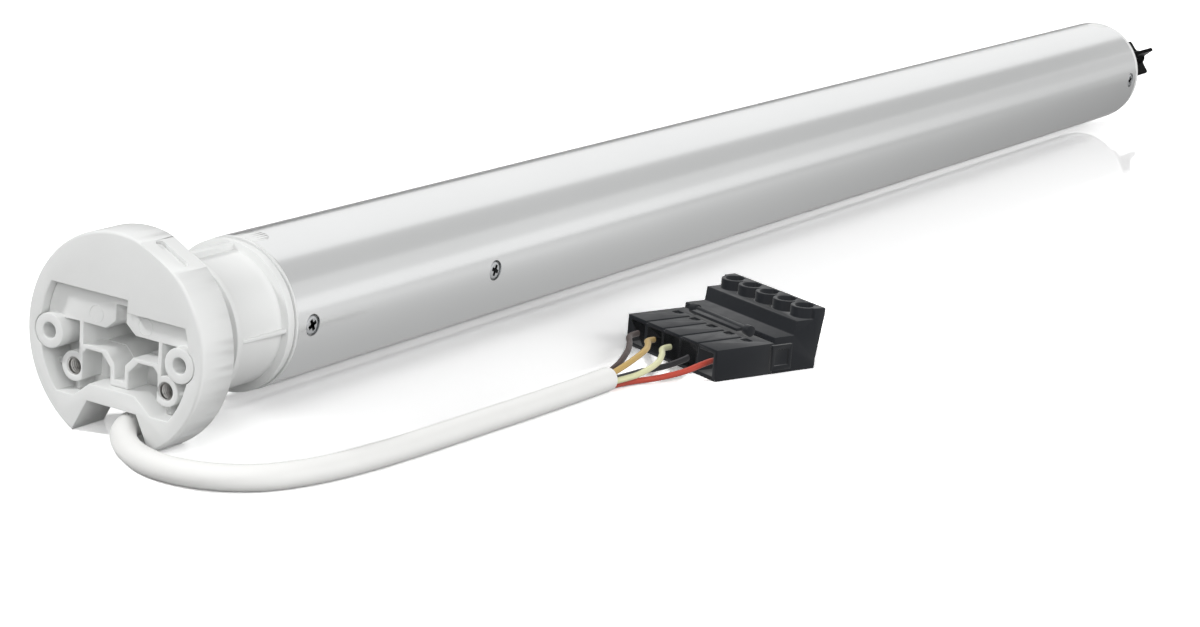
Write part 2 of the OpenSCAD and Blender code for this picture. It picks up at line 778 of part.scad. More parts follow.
// The latch lever turns on the line of its two round ends
module latch_lever() {
    half = 1.55 * pole_pitch;
    color(black_plastic) at_connector() translate([lever_x, 0, lever_z]) {
        for (s = [-1, 1]) translate([0, s * half + 1.25, 0]) rotate([90, 0, 0])
            cylinder(h = 2.5, r = lever_r);
        translate([0, half, 0]) rotate([90, 0, 0]) cylinder(h = 2 * half, r = 1.2);
        translate([-3.4, -half + 2, -0.5]) cube([3.4, 2 * half - 4, 1]);
    }
}

module side_clips() {
    clip_t = 1.1;
    color(black_plastic) at_connector() both_sides()
        translate([plug_l - 1.5, plug_w / 2 + 0.02, 1.5]) difference() {
            cube([8.5, clip_t, 8.5]);
            translate([1.3, clip_t - 0.6, 1.6]) cube([5.9, 1, 5.4]);
        }
}

// Electronics

module board_carrier() {
    color(grey_plastic) difference() {
        union() {
            difference() {
                disc_x(plug_end + 1.5, board_flange_x + eps, plug_r);
                disc_x(plug_end, board_flange_x + 1, plug_r - 1.8);
                translate([plug_end, -plug_r, 4]) cube([board_flange_x - plug_end, 2 * plug_r, plug_r]);
            }
            ring_x(board_flange_x, board_flange_x + board_flange_l, plug_r, neck_bore_r);
            both_sides() translate([plug_end + 1.5, 17.5, -2.2])
                cube([board_flange_x - plug_end - 1, 3, 2]);
        }
        at_tube_side(screw_stations[1]) screw_seat();
    }
}

module control_board() {
    board_x = plug_end + 3;
    board_l = board_flange_x - board_x - 2;
    half = 0.83 * plug_r;
    top = board_t - fit - 0.1;
    tall = plug_r / 2;
    color(board_green) {
        translate([board_x, -half, -fit]) cube([board_l, 2 * half, board_t]);
        translate([board_x + 0.13 * board_l, -0.65 * half, top])
            cube([0.31 * board_l, 0.84 * half, tall]);
        translate([board_x + 0.56 * board_l, -0.33 * half, top])
            cube([0.26 * board_l, 0.65 * half, 0.8 * tall]);
        translate([board_x + 0.1 * board_l, 0.44 * half, top]) cylinder(h = tall, r = 0.19 * half);
        translate([board_x + 0.66 * board_l, 0.65 * half, top])
            cylinder(h = 0.7 * tall, r = 0.14 * half);
    }
}

module run_capacitor() {
    x1 = capacitor_x + capacitor_l;
    tab_w = 0.35 * capacitor_r;
    color(grey_plastic) {
        turned([[0, capacitor_x], [capacitor_r - 1, capacitor_x], [capacitor_r, capacitor_x + 1],
            [capacitor_r, x1 - 4], [capacitor_r - 0.8, x1 - 3], [capacitor_r, x1 - 2],
            [capacitor_r, x1], [capacitor_r - 1.2, x1], [capacitor_r - 1.2, x1 - 1.5], [0, x1 - 1.5]]);
        both_sides() translate([x1 - 2, 0.3 * capacitor_r, -tab_w / 2])
            cube([2 + 1.5 * tab_w, 0.8, tab_w]);
    }
}

module capacitor_rings() {
    color(rubber_black) for (x = [capacitor_x + 8, capacitor_x + capacitor_l - 8 - capacitor_ring_l])
        difference() {
            ring_x(x, x + capacitor_ring_l, plug_r, capacitor_r + fit);
            for (k = [0:5]) rotate([60 * k + 30, 0, 0]) translate([x - eps, 0, plug_r])
                rotate([0, 90, 0]) cylinder(h = capacitor_ring_l + 2 * eps, r = capacitor_ring_l / 6);
        }
}

// Motor and brake

module motor_flanges() {
    color(satin_aluminium) {
        difference() {
            disc_x(front_flange_x, front_flange_x + motor_flange_t, plug_r);
            disc_x(front_flange_x - eps, front_flange_x + motor_flange_t + eps, shaft_r + shaft_gap);
            disc_x(front_flange_x + motor_flange_t - bearing_t, front_flange_x + motor_flange_t + eps,
                bearing_r + fit / 2);
        }
        difference() {
            disc_x(rear_flange_x, rear_flange_x + motor_flange_t, plug_r);
            disc_x(rear_flange_x - eps, rear_flange_x + motor_flange_t + eps, shaft_r + shaft_gap);
            disc_x(rear_flange_x - eps, rear_flange_x + bearing_t, bearing_r + fit / 2);
        }
    }
}

module motor_bearings() {
    color(steel) for (x = [front_flange_x + motor_flange_t - bearing_t + 0.1, rear_flange_x])
        ring_x(x, x + bearing_t - 0.1, bearing_r, shaft_r + run);
}

module stator_core() {
    inner = rotor_r + air_gap;
    color(steel) difference() {
        ring_x(stator_x, stator_x + stator_l, plug_r, inner);
        for (k = [0:11]) rotate([30 * k, 0, 0]) translate([stator_x - eps, 0, inner + 4.6])
            rotate([0, 90, 0]) cylinder(h = stator_l + 2 * eps, r = 2);
    }
}

module stator_windings() {
    inner = rotor_r + air_gap + 1.2;
    outer = plug_r - 2;
    color(copper) for (x = [stator_x - winding_l - 0.3, stator_x + stator_l + 0.3])
        turned([[inner, x + 1.5], [inner + 1.5, x], [outer - 3, x], [outer, x + 3],
            [outer, x + winding_l - 3], [outer - 3, x + winding_l], [inner + 1.5, x + winding_l],
            [inner, x + winding_l - 1.5]]);
}

module rotor_core() {
    color(steel) {
        ring_x(stator_x + 2, stator_x + stator_l - 2, rotor_r, shaft_r + 0.02);
        for (x = [stator_x - 2, stator_x + stator_l - 2]) ring_x(x, x + 4, rotor_r - 0.8, shaft_r + 0.02);
    }
}

module rotor_shaft() {
    color(steel) {
        disc_x(front_flange_x + 1, sun_1_end - width_1, shaft_r);
        sun_gear(sun_1_end - width_1 - 1, sun_1_end);
    }
}

module brake_coil() {
    color(dark_steel) difference() {
        disc_x(coil_x, coil_x + coil_l, plug_r);
        disc_x(coil_x - eps, coil_x + coil_l + eps, shaft_r + shaft_gap);
        ring_x(coil_x + coil_l - 1.5, coil_x + coil_l + eps, 0.72 * plug_r, 0.4 * plug_r);
    }
}

module brake_armature() {
    color(steel) difference() {
        ring_x(armature_x, armature_x + armature_t, plug_r - 0.2, shaft_r + shaft_gap);
        for (k = [0:2]) rotate([120 * k, 0, 0]) translate([armature_x - eps, 0, 13])
            rotate([0, 90, 0]) cylinder(h = armature_t + 2 * eps, r = 2);
    }
}

module brake_disc() {
    color(dark_steel) ring_x(brake_disc_x, brake_disc_x + brake_disc_t, 0.77 * plug_r, shaft_r + 0.02);
}

module brake_plate() {
    color(steel) ring_x(brake_plate_x, brake_plate_x + brake_plate_t, plug_r, shaft_r + shaft_gap);
}

// Gearbox

module ring_gear() {
    cut = gear_outline(ring_teeth, ring_tip_r, gear_module * (ring_teeth / 2 + tooth_ded), -tooth_play);
    color(steel) difference() {
        union() {
            ring_x(gear_start, tube_end - cap_spigot, plug_r, ring_tip_r);
            disc_x(box_flange_x, gear_start, plug_r);
        }
        along_x(gear_start, tube_end - cap_spigot + eps) polygon(cut);
        disc_x(box_flange_x - eps, gear_start + eps, gear_module * (sun_teeth / 2 + tooth_add) + 0.3);
    }
}

module stage_planet(stage, place) {
    x = [sun_1_end - width_1, plate_2_x - end_gap - width_2, out_plate_x - end_gap - width_3][stage];
    width = [width_1, width_2, width_3][stage];
    color(brass) planet_gear(x, width, place);
}

module stage1_planet_a() { stage_planet(0, 0); }

module stage1_planet_b() { stage_planet(0, 1); }

module stage1_planet_c() { stage_planet(0, 2); }

module stage2_planet_a() { stage_planet(1, 0); }

module stage2_planet_b() { stage_planet(1, 1); }

module stage2_planet_c() { stage_planet(1, 2); }

module stage3_planet_a() { stage_planet(2, 0); }

module stage3_planet_b() { stage_planet(2, 1); }

module stage3_planet_c() { stage_planet(2, 2); }

module stage1_carrier() {
    color(steel) {
        carrier_plate(plate_1_x, carrier_t, width_1);
        sun_gear(plate_1_x + carrier_t - 1, plate_2_x - end_gap);
    }
}

module stage2_carrier() {
    color(steel) {
        carrier_plate(plate_2_x, carrier_t, width_2);
        sun_gear(plate_2_x + carrier_t - 1, out_plate_x - end_gap);
    }
}

square_w = 10;
square_x = out_plate_x + 5;
journal_x = out_plate_x + out_plate_t + out_boss_l + end_gap;

module output_carrier() {
    boss_r = 11.5;
    color(steel) difference() {
        union() {
            carrier_plate(out_plate_x, out_plate_t, width_3);
            disc_x(out_plate_x, out_plate_x + out_plate_t + out_boss_l, boss_r);
        }
        translate([square_x, -square_w / 2, -square_w / 2]) cube([60, square_w, square_w]);
    }
}

module end_cap() {
    color(white_plastic) {
        difference() {
            union() {
                disc_x(tube_end - cap_spigot, tube_end + cap_flange_t, plug_r);
                disc_x(tube_end, tube_end + cap_flange_t, tube_r - 0.2);
            }
            disc_x(tube_end - cap_spigot - eps, tube_end - 6, 17);
            disc_x(tube_end - 7, tube_end + cap_flange_t + eps, journal_r + 2 + fit / 2);
            at_tube_side(screw_stations[2]) screw_seat();
        }
        notch_key(tube_end, -1);
    }
}

module output_bush() {
    color(brass) ring_x(tube_end - 6, tube_end + cap_flange_t, journal_r + 2, journal_r + run);
}

module end_plate() {
    x0 = tube_end + cap_flange_t;
    color(dark_steel) difference() {
        turned([[0, x0], [end_plate_r, x0], [end_plate_r, x0 + end_plate_t - 1],
            [end_plate_r - 1, x0 + end_plate_t], [0, x0 + end_plate_t]]);
        disc_x(x0 - eps, x0 + end_plate_t + eps, journal_r + run);
        for (k = [0:2]) rotate([120 * k, 0, 0]) translate([0, 0, 15])
            disc_x(x0 + end_plate_t - 1, x0 + end_plate_t + eps, 2);
    }
}

// The star shaft's cross section, with its four fins tapering to the tips
module star_outline() {
    root = fin_t / 2 + 0.5;
    circle(r = core_r);
    for (k = [0:3]) rotate(180 - star_angle + 90 * k)
        polygon([[0, -root], [core_r + 1.4, -fin_t / 2], [star_r, -fin_t / 2 + 0.1],
            [star_r, fin_t / 2 - 0.1], [core_r + 1.4, fin_t / 2], [0, root]]);
}

module output_shaft() {
    star_x = tube_end + cap_flange_t + end_plate_t + 1;
    tip_x = tube_end + star_reach;
    taper = 1.2;
    color(dark_steel) {
        disc_x(journal_x, star_x, journal_r);
        translate([square_x + 0.2, 0.05 - square_w / 2, 0.05 - square_w / 2])
            cube([journal_x - square_x + 1, square_w - 0.1, square_w - 0.1]);
        intersection() {
            along_x(star_x - 1, tip_x) star_outline();
            turned([[0, star_x - 1], [star_r + 1, star_x - 1], [star_r + 1, tip_x - taper],
                [star_r - taper, tip_x], [0, tip_x]]);
        }
    }
}

head_cover();
head_body();
threaded_inserts();
programming_button();
button_switch();
idler_crown();
tube_plug();
motor_tube();
tube_screws();
cable_plug();
strain_relief();
power_cable();
wire_brown();
wire_yellow();
wire_white();
wire_black();
wire_red();
plug_housing();
terminal_housing();
latch_lever();
side_clips();
terminal_screws();
wire_clamps();
control_board();
board_carrier();
run_capacitor();
capacitor_rings();
motor_flanges();
motor_bearings();
stator_core();
stator_windings();
rotor_core();
rotor_shaft();
brake_coil();
brake_armature();
brake_disc();
brake_plate();
ring_gear();
stage1_planet_a();
stage1_planet_b();
stage1_planet_c();
stage1_carrier();
stage2_planet_a();
stage2_planet_b();
stage2_planet_c();
stage2_carrier();
stage3_planet_a();
stage3_planet_b();
stage3_planet_c();
output_carrier();
end_cap();
output_bush();
end_plate();
output_shaft();
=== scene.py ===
"""Looks of a tubular roller blind motor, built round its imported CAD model."""
import logging
import math
from collections.abc import Callable
from dataclasses import dataclass, field
from enum import Enum

import bpy
from mathutils import Matrix, Vector


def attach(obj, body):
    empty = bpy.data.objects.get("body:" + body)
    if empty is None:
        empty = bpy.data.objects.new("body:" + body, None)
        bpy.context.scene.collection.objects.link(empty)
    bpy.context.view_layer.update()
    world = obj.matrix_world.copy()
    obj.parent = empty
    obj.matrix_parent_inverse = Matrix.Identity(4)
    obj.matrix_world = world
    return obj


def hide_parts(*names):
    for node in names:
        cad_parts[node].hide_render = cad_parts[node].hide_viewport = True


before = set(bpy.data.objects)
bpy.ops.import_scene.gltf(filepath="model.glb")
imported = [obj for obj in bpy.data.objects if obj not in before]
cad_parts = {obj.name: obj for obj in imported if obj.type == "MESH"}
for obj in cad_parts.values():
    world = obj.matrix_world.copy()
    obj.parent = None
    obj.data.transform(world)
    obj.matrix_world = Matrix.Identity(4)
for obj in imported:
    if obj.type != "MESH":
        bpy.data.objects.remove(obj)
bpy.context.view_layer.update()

LOG = logging.getLogger("blind_motor")
MM = 0.001
FLOOR_MM = -27.5
# Edges that turn by more than SHARP are rounded, those that turn by less than SMOOTH smoothed.
SHARP = math.radians(35)
SMOOTH = math.radians(32)
# Faces that turn by less than this lie in one plane.
FLAT = math.radians(0.4)
# Faces of a tube that face this much outward or inward are parts of its cylinders.
ON_CYLINDER = 0.97
# Points of a turned piece or of a copied one that are nearer than these are one point.
LATHE_MERGE = 0.002 * MM
COPY_MERGE = 0.004 * MM
# Faces thinner than these are dissolved: in a copy, and at the head's foot.
SLIVER = 0.003 * MM
NEEDLE = 0.01 * MM
# A rim's points lie this near to its plane.
LEVEL_MM = 0.01

Point = tuple[float, float, float]
Socket = bpy.types.NodeSocket


class Slot(Enum):
    """The record's material slots that new pieces take their finish from."""

    WHITE = "white_plastic"
    TUBE = "tube_aluminium"
    INSERT = "insert_steel"
    SCREW = "screw_steel"
    DARK = "dark_steel"
    BLACK = "black_plastic"
    SHEATH = "cable_sheath"
    WIRE_BROWN = "wire_brown"
    WIRE_YELLOW = "wire_yellow"
    WIRE_WHITE = "wire_white"
    WIRE_BLACK = "wire_black"
    WIRE_RED = "wire_red"


# Helpers


def shade(code: str) -> tuple[float, float, float, float]:
    """Turns an sRGB hex colour to linear light.

    Args:
        code: six hex digits.

    Returns:
        Red, green, blue and an alpha of 1.
    """
    parts = [int(code[i:i + 2], 16) / 255 for i in (0, 2, 4)]
    linear = [c / 12.92 if c <= 0.04045 else ((c + 0.055) / 1.055) ** 2.4 for c in parts]
    return (linear[0], linear[1], linear[2], 1.0)


def add_node(tree: bpy.types.NodeTree, kind: str, links: dict | None = None,
             values: dict | None = None, **settings: object) -> bpy.types.Node:
    """Adds one shader node.

    Args:
        tree: the node tree that gets it.
        kind: the node's type, without its "ShaderNode" start.
        links: output sockets by the input's name or number that they feed.
        values: plain values by the input's name or number.
        settings: the node's own settings.

    Returns:
        The new node.
    """
    node = tree.nodes.new("ShaderNode" + kind)
    for name, value in settings.items():
        setattr(node, name, value)
    for name, value in (values or {}).items():
        node.inputs[name].default_value = value
    for name, source in (links or {}).items():
        tree.links.new(source, node.inputs[name])
    return node


def focus(*pieces: bpy.types.Object) -> None:
    """Selects only these pieces and makes the first one active.

    Args:
        pieces: the pieces.
    """
    bpy.ops.object.select_all(action="DESELECT")
    for piece in pieces:
        piece.select_set(True)
    bpy.context.view_layer.objects.active = pieces[0]


def new_object(name: str, data: bpy.types.ID) -> bpy.types.Object:
    """Puts a new mesh, curve, lamp or camera in the scene.

    Args:
        name: its object's name.
        data: the mesh, curve, lamp or camera.

    Returns:
        Its object.
    """
    thing = bpy.data.objects.new(name, data)
    bpy.context.scene.collection.objects.link(thing)
    return thing


def primitive(operator: Callable, **settings: object) -> bpy.types.Object:
    """Adds one of Blender's basic meshes, and returns it.

    Args:
        operator: the operator that adds it.
        settings: the operator's own settings.

    Returns:
        The new mesh's object.
    """
    bpy.ops.object.select_all(action="DESELECT")
    operator(**settings)
    return bpy.context.object


class Editing:
    """A piece in edit mode, with everything selected or only what is wanted."""

    def __init__(self, piece: bpy.types.Object, kind: str = "",
                 wanted: Callable | None = None) -> None:
        """Notes what to open.

        Args:
            piece: the piece.
            kind: VERT, EDGE or FACE, where not everything is wanted.
            wanted: tells of one of these whether it is selected.
        """
        self.piece, self.kind, self.wanted = piece, kind, wanted

    def __enter__(self) -> None:
        """Opens the piece and selects."""
        focus(self.piece)
        bpy.ops.object.mode_set(mode="EDIT")
        bpy.ops.mesh.select_all(action="SELECT")
        if self.wanted:
            bpy.ops.mesh.select_all(action="DESELECT")
            bpy.ops.mesh.select_mode(type=self.kind)
            bpy.ops.object.mode_set(mode="OBJECT")
            mesh = self.piece.data
            parts = {"VERT": mesh.vertices, "EDGE": mesh.edges, "FACE": mesh.polygons}[self.kind]
            for part in parts:
                part.select = self.wanted(part)
            bpy.ops.object.mode_set(mode="EDIT")

    def __exit__(self, *problem: object) -> None:
        """Closes the piece again."""
        bpy.ops.object.mode_set(mode="OBJECT")


def smooth(piece: bpy.types.Object) -> None:
    """Smooths a piece, but not over its sharp edges."""
    focus(piece)
    bpy.ops.object.shade_smooth_by_angle(angle=SMOOTH)


def apply_all(piece: bpy.types.Object) -> None:
    """Applies every modifier of a piece, in order.

    Args:
        piece: the piece.
    """
    focus(piece)
    for modifier in list(piece.modifiers):
        bpy.ops.object.modifier_apply(modifier=modifier.name)


def settle(piece: bpy.types.Object, name: str) -> bpy.types.Object:
    """Puts a finished piece's object at the origin, with its place in its mesh.

    Args:
        piece: the piece.
        name: the name that it gets.

    Returns:
        The same piece.
    """
    piece.name = name
    piece.data.name = name
    focus(piece)
    bpy.ops.object.transform_apply(location=True, rotation=True, scale=True)
    return piece


def round_edges(piece: bpy.types.Object, width_mm: float, segments: int) -> None:
    """Rounds a piece's sharp edges and smooths what lies between them.

    Args:
        piece: the piece.
        width_mm: width of the rounding.
        segments: steps across it.
    """
    bevel = piece.modifiers.new("edges", "BEVEL")
    bevel.width = width_mm * MM
    bevel.segments = segments
    bevel.limit_method = "ANGLE"
    bevel.angle_limit = SHARP
    bevel.use_clamp_overlap = False
    bevel.miter_outer = "MITER_ARC"
    apply_all(piece)
    smooth(piece)


def combine(piece: bpy.types.Object, operation: str, others: list[bpy.types.Object]) -> None:
    """Cuts other pieces out of a piece or fuses them with it, and removes the others.

    Args:
        piece: the piece that stays.
        operation: DIFFERENCE or UNION.
        others: the other pieces.
    """
    for other in others:
        boolean = piece.modifiers.new("boolean", "BOOLEAN")
        boolean.operation = operation
        boolean.solver = "EXACT"
        boolean.object = other
        apply_all(piece)
        bpy.data.objects.remove(other)


def join(pieces: list[bpy.types.Object]) -> bpy.types.Object:
    """Joins pieces into the first one, which is returned.

    Args:
        pieces: the pieces.

    Returns:
        The first piece.
    """
    focus(*pieces)
    bpy.ops.object.join()
    return pieces[0]


def section(points: list[tuple[float, float]]) -> bpy.types.Object:
    """A closed line of points, each its place along X and its radius, in millimetres.

    Args:
        points: the points.

    Returns:
        The line, in the plane across Y.
    """
    outline = primitive(bpy.ops.mesh.primitive_circle_add, vertices=len(points), radius=1)
    for vertex, (along, radius) in zip(outline.data.vertices, points):
        vertex.co = (along * MM, 0, radius * MM)
    return outline


def lathe(name: str, profile: list[tuple[float, float]], centre: Point = (0, 0, 0), *,
          steps: int) -> bpy.types.Object:
    """Turns a closed profile about a line along X.

    Args:
        name: the piece's name.
        profile: points as place along X and radius, in millimetres.
        centre: a point of the line, in millimetres.
        steps: faces round the turn.

    Returns:
        The turned piece.
    """
    piece = section(profile)
    with Editing(piece):
        bpy.ops.mesh.spin(steps=steps, angle=math.tau, center=(0, 0, 0), axis=(1, 0, 0))
        bpy.ops.mesh.select_all(action="SELECT")
        bpy.ops.mesh.remove_doubles(threshold=LATHE_MERGE)
        bpy.ops.mesh.normals_make_consistent(inside=False)
    piece.location = Vector(centre) * MM
    smooth(settle(piece, name))
    return piece


def copy_of(node: str, name: str) -> bpy.types.Object:
    """Copies a CAD node's mesh and merges its loose triangles.

    Args:
        node: the CAD node.
        name: the copy's name.

    Returns:
        The copy, with flat areas as single faces.
    """
    piece = new_object(name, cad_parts[node].data.copy())
    piece.data.name = name
    piece.data.materials.clear()
    with Editing(piece):
        bpy.ops.mesh.remove_doubles(threshold=COPY_MERGE)
        bpy.ops.mesh.dissolve_degenerate(threshold=SLIVER)
        bpy.ops.mesh.dissolve_limited(angle_limit=FLAT)
    return piece


def round_rims(piece: bpy.types.Object, planes_mm: tuple[float, ...], width_mm: float) -> None:
    """Rounds the sharp edges that lie in planes across X, such as a head's front rims.

    Args:
        piece: the piece.
        planes_mm: the planes' places along X.
        width_mm: width of the rounding.
    """
    mesh = piece.data
    normals = {}
    for polygon in mesh.polygons:
        for key in polygon.edge_keys:
            normals.setdefault(key, []).append(polygon.normal.copy())

    def on_rim(edge: bpy.types.MeshEdge) -> bool:
        """Whether an edge lies in one of the planes and is sharp.

        Args:
            edge: the edge.

        Returns:
            True where both hold.
        """
        places = [mesh.vertices[v].co.x / MM for v in edge.vertices]
        sides = normals.get(tuple(sorted(edge.vertices)), [])
        level = any(all(abs(x - plane) < LEVEL_MM for x in places) for plane in planes_mm)
        return level and len(sides) == 2 and sides[0].dot(sides[1]) < math.cos(SHARP)

    with Editing(piece, "EDGE", on_rim):
        bpy.ops.mesh.bevel(offset=width_mm * MM, segments=3, clamp_overlap=False)
    smooth(piece)


def drop_needles(piece: bpy.types.Object, below_mm: float) -> None:
    """Dissolves the needle faces that rounding leaves at a piece's foot.

    Args:
        piece: the piece.
        below_mm: height that the foot lies under.
    """
    with Editing(piece, "VERT", lambda vertex: vertex.co.z < below_mm * MM):
        bpy.ops.mesh.dissolve_degenerate(threshold=NEEDLE)


# Finishes


class Skin:
    """A material that is being built: its node tree and its main shader."""

    def __init__(self, name: str) -> None:
        """Starts the material under its name."""
        self.material = bpy.data.materials.new(name)
        self.material.use_nodes = True
        self.tree = self.material.node_tree
        self.shader = self.tree.nodes["Principled BSDF"]
        self.where = add_node(self.tree, "TexCoord").outputs["Object"]

    def mottled(self, low: str, high: str, patch_mm: float) -> Socket:
        """Colour that drifts between two near shades over patches of a real size.

        Args:
            low: one shade's hex digits.
            high: the other's.
            patch_mm: the patches' size.

        Returns:
            The colour's socket.
        """
        cloud = add_node(self.tree, "TexNoise", {"Vector": self.where},
                         {"Scale": 1 / (patch_mm * MM), "Detail": 3.0})
        return add_node(self.tree, "Mix", {0: cloud.outputs["Fac"]},
                        {6: shade(low), 7: shade(high)}, data_type="RGBA").outputs[2]

    def rough_drift(self, low: float, high: float, patch_mm: float) -> Socket:
        """Roughness that drifts between two values over patches of a real size.

        Args:
            low: the lower roughness.
            high: the higher one.
            patch_mm: the patches' size.

        Returns:
            The roughness's socket.
        """
        cloud = add_node(self.tree, "TexNoise", {"Vector": self.where},
                         {"Scale": 1 / (patch_mm * MM), "Detail": 4.0})
        return add_node(self.tree, "MapRange", {"Value": cloud.outputs["Fac"]},
                        {"From Min": 0.3, "From Max": 0.7,
                         "To Min": low, "To Max": high}).outputs["Result"]

    def finished(self, links: dict, values: dict) -> bpy.types.Material:
        """Feeds the main shader, and returns the material.

        Args:
            links: output sockets by the input's name that they feed.
            values: plain values by the input's name.

        Returns:
            The finished material.
        """
        for name, source in links.items():
            self.tree.links.new(source, self.shader.inputs[name])
        for name, value in values.items():
            self.shader.inputs[name].default_value = value
        return self.material


@dataclass(frozen=True)
class MouldedPlastic:
    """Injection moulded plastic: an even satin skin with the mould's fine eroded grain."""

    name: str
    low: str
    high: str
    rough_low: float
    rough_high: float
    grain_mm: float = 0.35
    grain_depth_mm: float = 0.006
    gloss: float = 0.5
    tone_patch_mm: float = 14.0
    rough_patch_mm: float = 5.0

    def material(self) -> bpy.types.Material:
        """Builds the material.

        Returns:
            The material.
        """
        skin = Skin(self.name)
        grain = add_node(skin.tree, "TexNoise", {"Vector": skin.where},
                         {"Scale": 1 / (self.grain_mm * MM), "Detail": 2.0})
        bump = add_node(skin.tree, "Bump", {"Height": grain.outputs["Fac"]},
                        {"Strength": 0.5, "Distance": self.grain_depth_mm * MM})
        return skin.finished({
            "Base Color": skin.mottled(self.low, self.high, self.tone_patch_mm),
            "Roughness": skin.rough_drift(self.rough_low, self.rough_high, self.rough_patch_mm),
            "Normal": bump.outputs["Normal"],
        }, {"IOR": 1.53, "Specular IOR Level": self.gloss})


@dataclass(frozen=True)
class AnodisedExtrusion:
    """Anodised aluminium tube: satin metal with the die's fine lines along its length."""

    name: str
    low: str = "EAEBEB"
    high: str = "EFF0F0"
    rough_low: float = 0.19
    rough_high: float = 0.22
    tone_patch_mm: float = 60.0
    line_mm: float = 0.5
    line_depth_mm: float = 0.003
    changes_per_metre: float = 6.0

    def material(self) -> bpy.types.Material:
        """Builds the material.

        Returns:
            The material.
        """
        skin = Skin(self.name)
        across = 1 / (self.line_mm * MM)
        drawn = add_node(skin.tree, "Mapping", {"Vector": skin.where},
                         {"Scale": (self.changes_per_metre, across, across)})
        lines = add_node(skin.tree, "TexNoise", {"Vector": drawn.outputs["Vector"]},
                         {"Scale": 1.0, "Detail": 2.0}).outputs["Fac"]
        satin = add_node(skin.tree, "MapRange", {"Value": lines},
                         {"From Min": 0.3, "From Max": 0.7,
                          "To Min": self.rough_low, "To Max": self.rough_high})
        bump = add_node(skin.tree, "Bump", {"Height": lines},
                        {"Strength": 0.15, "Distance": self.line_depth_mm * MM})
        return skin.finished({
            "Base Color": skin.mottled(self.low, self.high, self.tone_patch_mm),
            "Roughness": satin.outputs["Result"],
            "Normal": bump.outputs["Normal"],
        }, {"Metallic": 1.0})


@dataclass(frozen=True)
class WorkedMetal:
    """Bare, plated or blackened metal with the marks of turning, drawing or casting."""

    name: str
    low: str
    high: str
    rough_low: float
    rough_high: float
    mark_mm: float = 0.3
    mark_depth_mm: float = 0.004
    metallic: float = 1.0
    edge: str = "FFFFFF"
    tone_patch_mm: float = 6.0
    rough_patch_mm: float = 2.5

    def material(self) -> bpy.types.Material:
        """Builds the material.

        Returns:
            The material.
        """
        skin = Skin(self.name)
        marks = add_node(skin.tree, "TexNoise", {"Vector": skin.where},
                         {"Scale": 1 / (self.mark_mm * MM), "Detail": 3.0})
        bump = add_node(skin.tree, "Bump", {"Height": marks.outputs["Fac"]},
                        {"Strength": 0.5, "Distance": self.mark_depth_mm * MM})
        return skin.finished({
            "Base Color": skin.mottled(self.low, self.high, self.tone_patch_mm),
            "Roughness": skin.rough_drift(self.rough_low, self.rough_high, self.rough_patch_mm),
            "Normal": bump.outputs["Normal"],
        }, {"Metallic": self.metallic, "Specular Tint": shade(self.edge)})


@dataclass(frozen=True)
class BandedMetal:
    """Metal whose layers or turns lie side by side along the axis, each with a groove, and whose
    colour is painted darker in the grooves as shade and lighter on the crowns as highlight.
    """

    name: str
    low: str
    high: str
    pitch_mm: float
    waviness: float
    groove_mm: float
    strength: float

    def bands(self, skin: Skin) -> dict[str, Socket]:
        """The links that the layers' colour and grooves give, by the shader's input: the colour is
        painted shade in each groove and painted highlight on each crown.

        Args:
            skin: the material that is being built.

        Returns:
            The colour's and the normal's sockets.
        """
        # The node repeats after tau / 20 units, so a band is drawn tau times as wide as a real
        # sheet or turn, which would be too fine to show.
        turns = add_node(skin.tree, "TexWave", {"Vector": skin.where},
                         {"Scale": 0.05 / (self.pitch_mm * MM), "Distortion": self.waviness},
                         wave_type="BANDS", bands_direction="X").outputs["Fac"]
        colour = add_node(skin.tree, "Mix", {0: turns},
                          {6: shade(self.low), 7: shade(self.high)}, data_type="RGBA")
        bump = add_node(skin.tree, "Bump", {"Height": turns},
                        {"Strength": self.strength, "Distance": self.groove_mm * MM})
        return {"Base Color": colour.outputs[2], "Normal": bump.outputs["Normal"]}


class StackedSheet(BandedMetal):
    """Laminated iron: thin punched sheets, whose edges show as lines across the axis."""

    def material(self) -> bpy.types.Material:
        """Builds the material.

        Returns:
            The material.
        """
        skin = Skin(self.name)
        rough = skin.rough_drift(0.4, 0.6, 6.0)
        return skin.finished({**self.bands(skin), "Roughness": rough}, {"Metallic": 0.9})


class WoundWire(BandedMetal):
    """Enamelled copper wire wound in rings: glossy turns side by side."""

    def material(self) -> bpy.types.Material:
        """Builds the material.

        Returns:
            The material.
        """
        skin = Skin(self.name)
        return skin.finished(self.bands(skin), {"Metallic": 0.8, "Roughness": 0.28,
                                                "Coat Weight": 0.5})


@dataclass(frozen=True)
class ExtrudedSheath:
    """Soft PVC drawn round a conductor: a waxy skin with slow waves."""

    name: str
    low: str
    high: str
    rough_low: float = 0.36
    rough_high: float = 0.46
    tone_patch_mm: float = 9.0
    rough_patch_mm: float = 3.0
    wave_mm: float = 1.6
    wave_depth_mm: float = 0.02

    def material(self) -> bpy.types.Material:
        """Builds the material.

        Returns:
            The material.
        """
        skin = Skin(self.name)
        waves = add_node(skin.tree, "TexNoise", {"Vector": skin.where},
                         {"Scale": 1 / (self.wave_mm * MM), "Detail": 3.0})
        bump = add_node(skin.tree, "Bump", {"Height": waves.outputs["Fac"]},
                        {"Strength": 0.4, "Distance": self.wave_depth_mm * MM})
        return skin.finished({
            "Base Color": skin.mottled(self.low, self.high, self.tone_patch_mm),
            "Roughness": skin.rough_drift(self.rough_low, self.rough_high, self.rough_patch_mm),
            "Normal": bump.outputs["Normal"],
        }, {"IOR": 1.5})


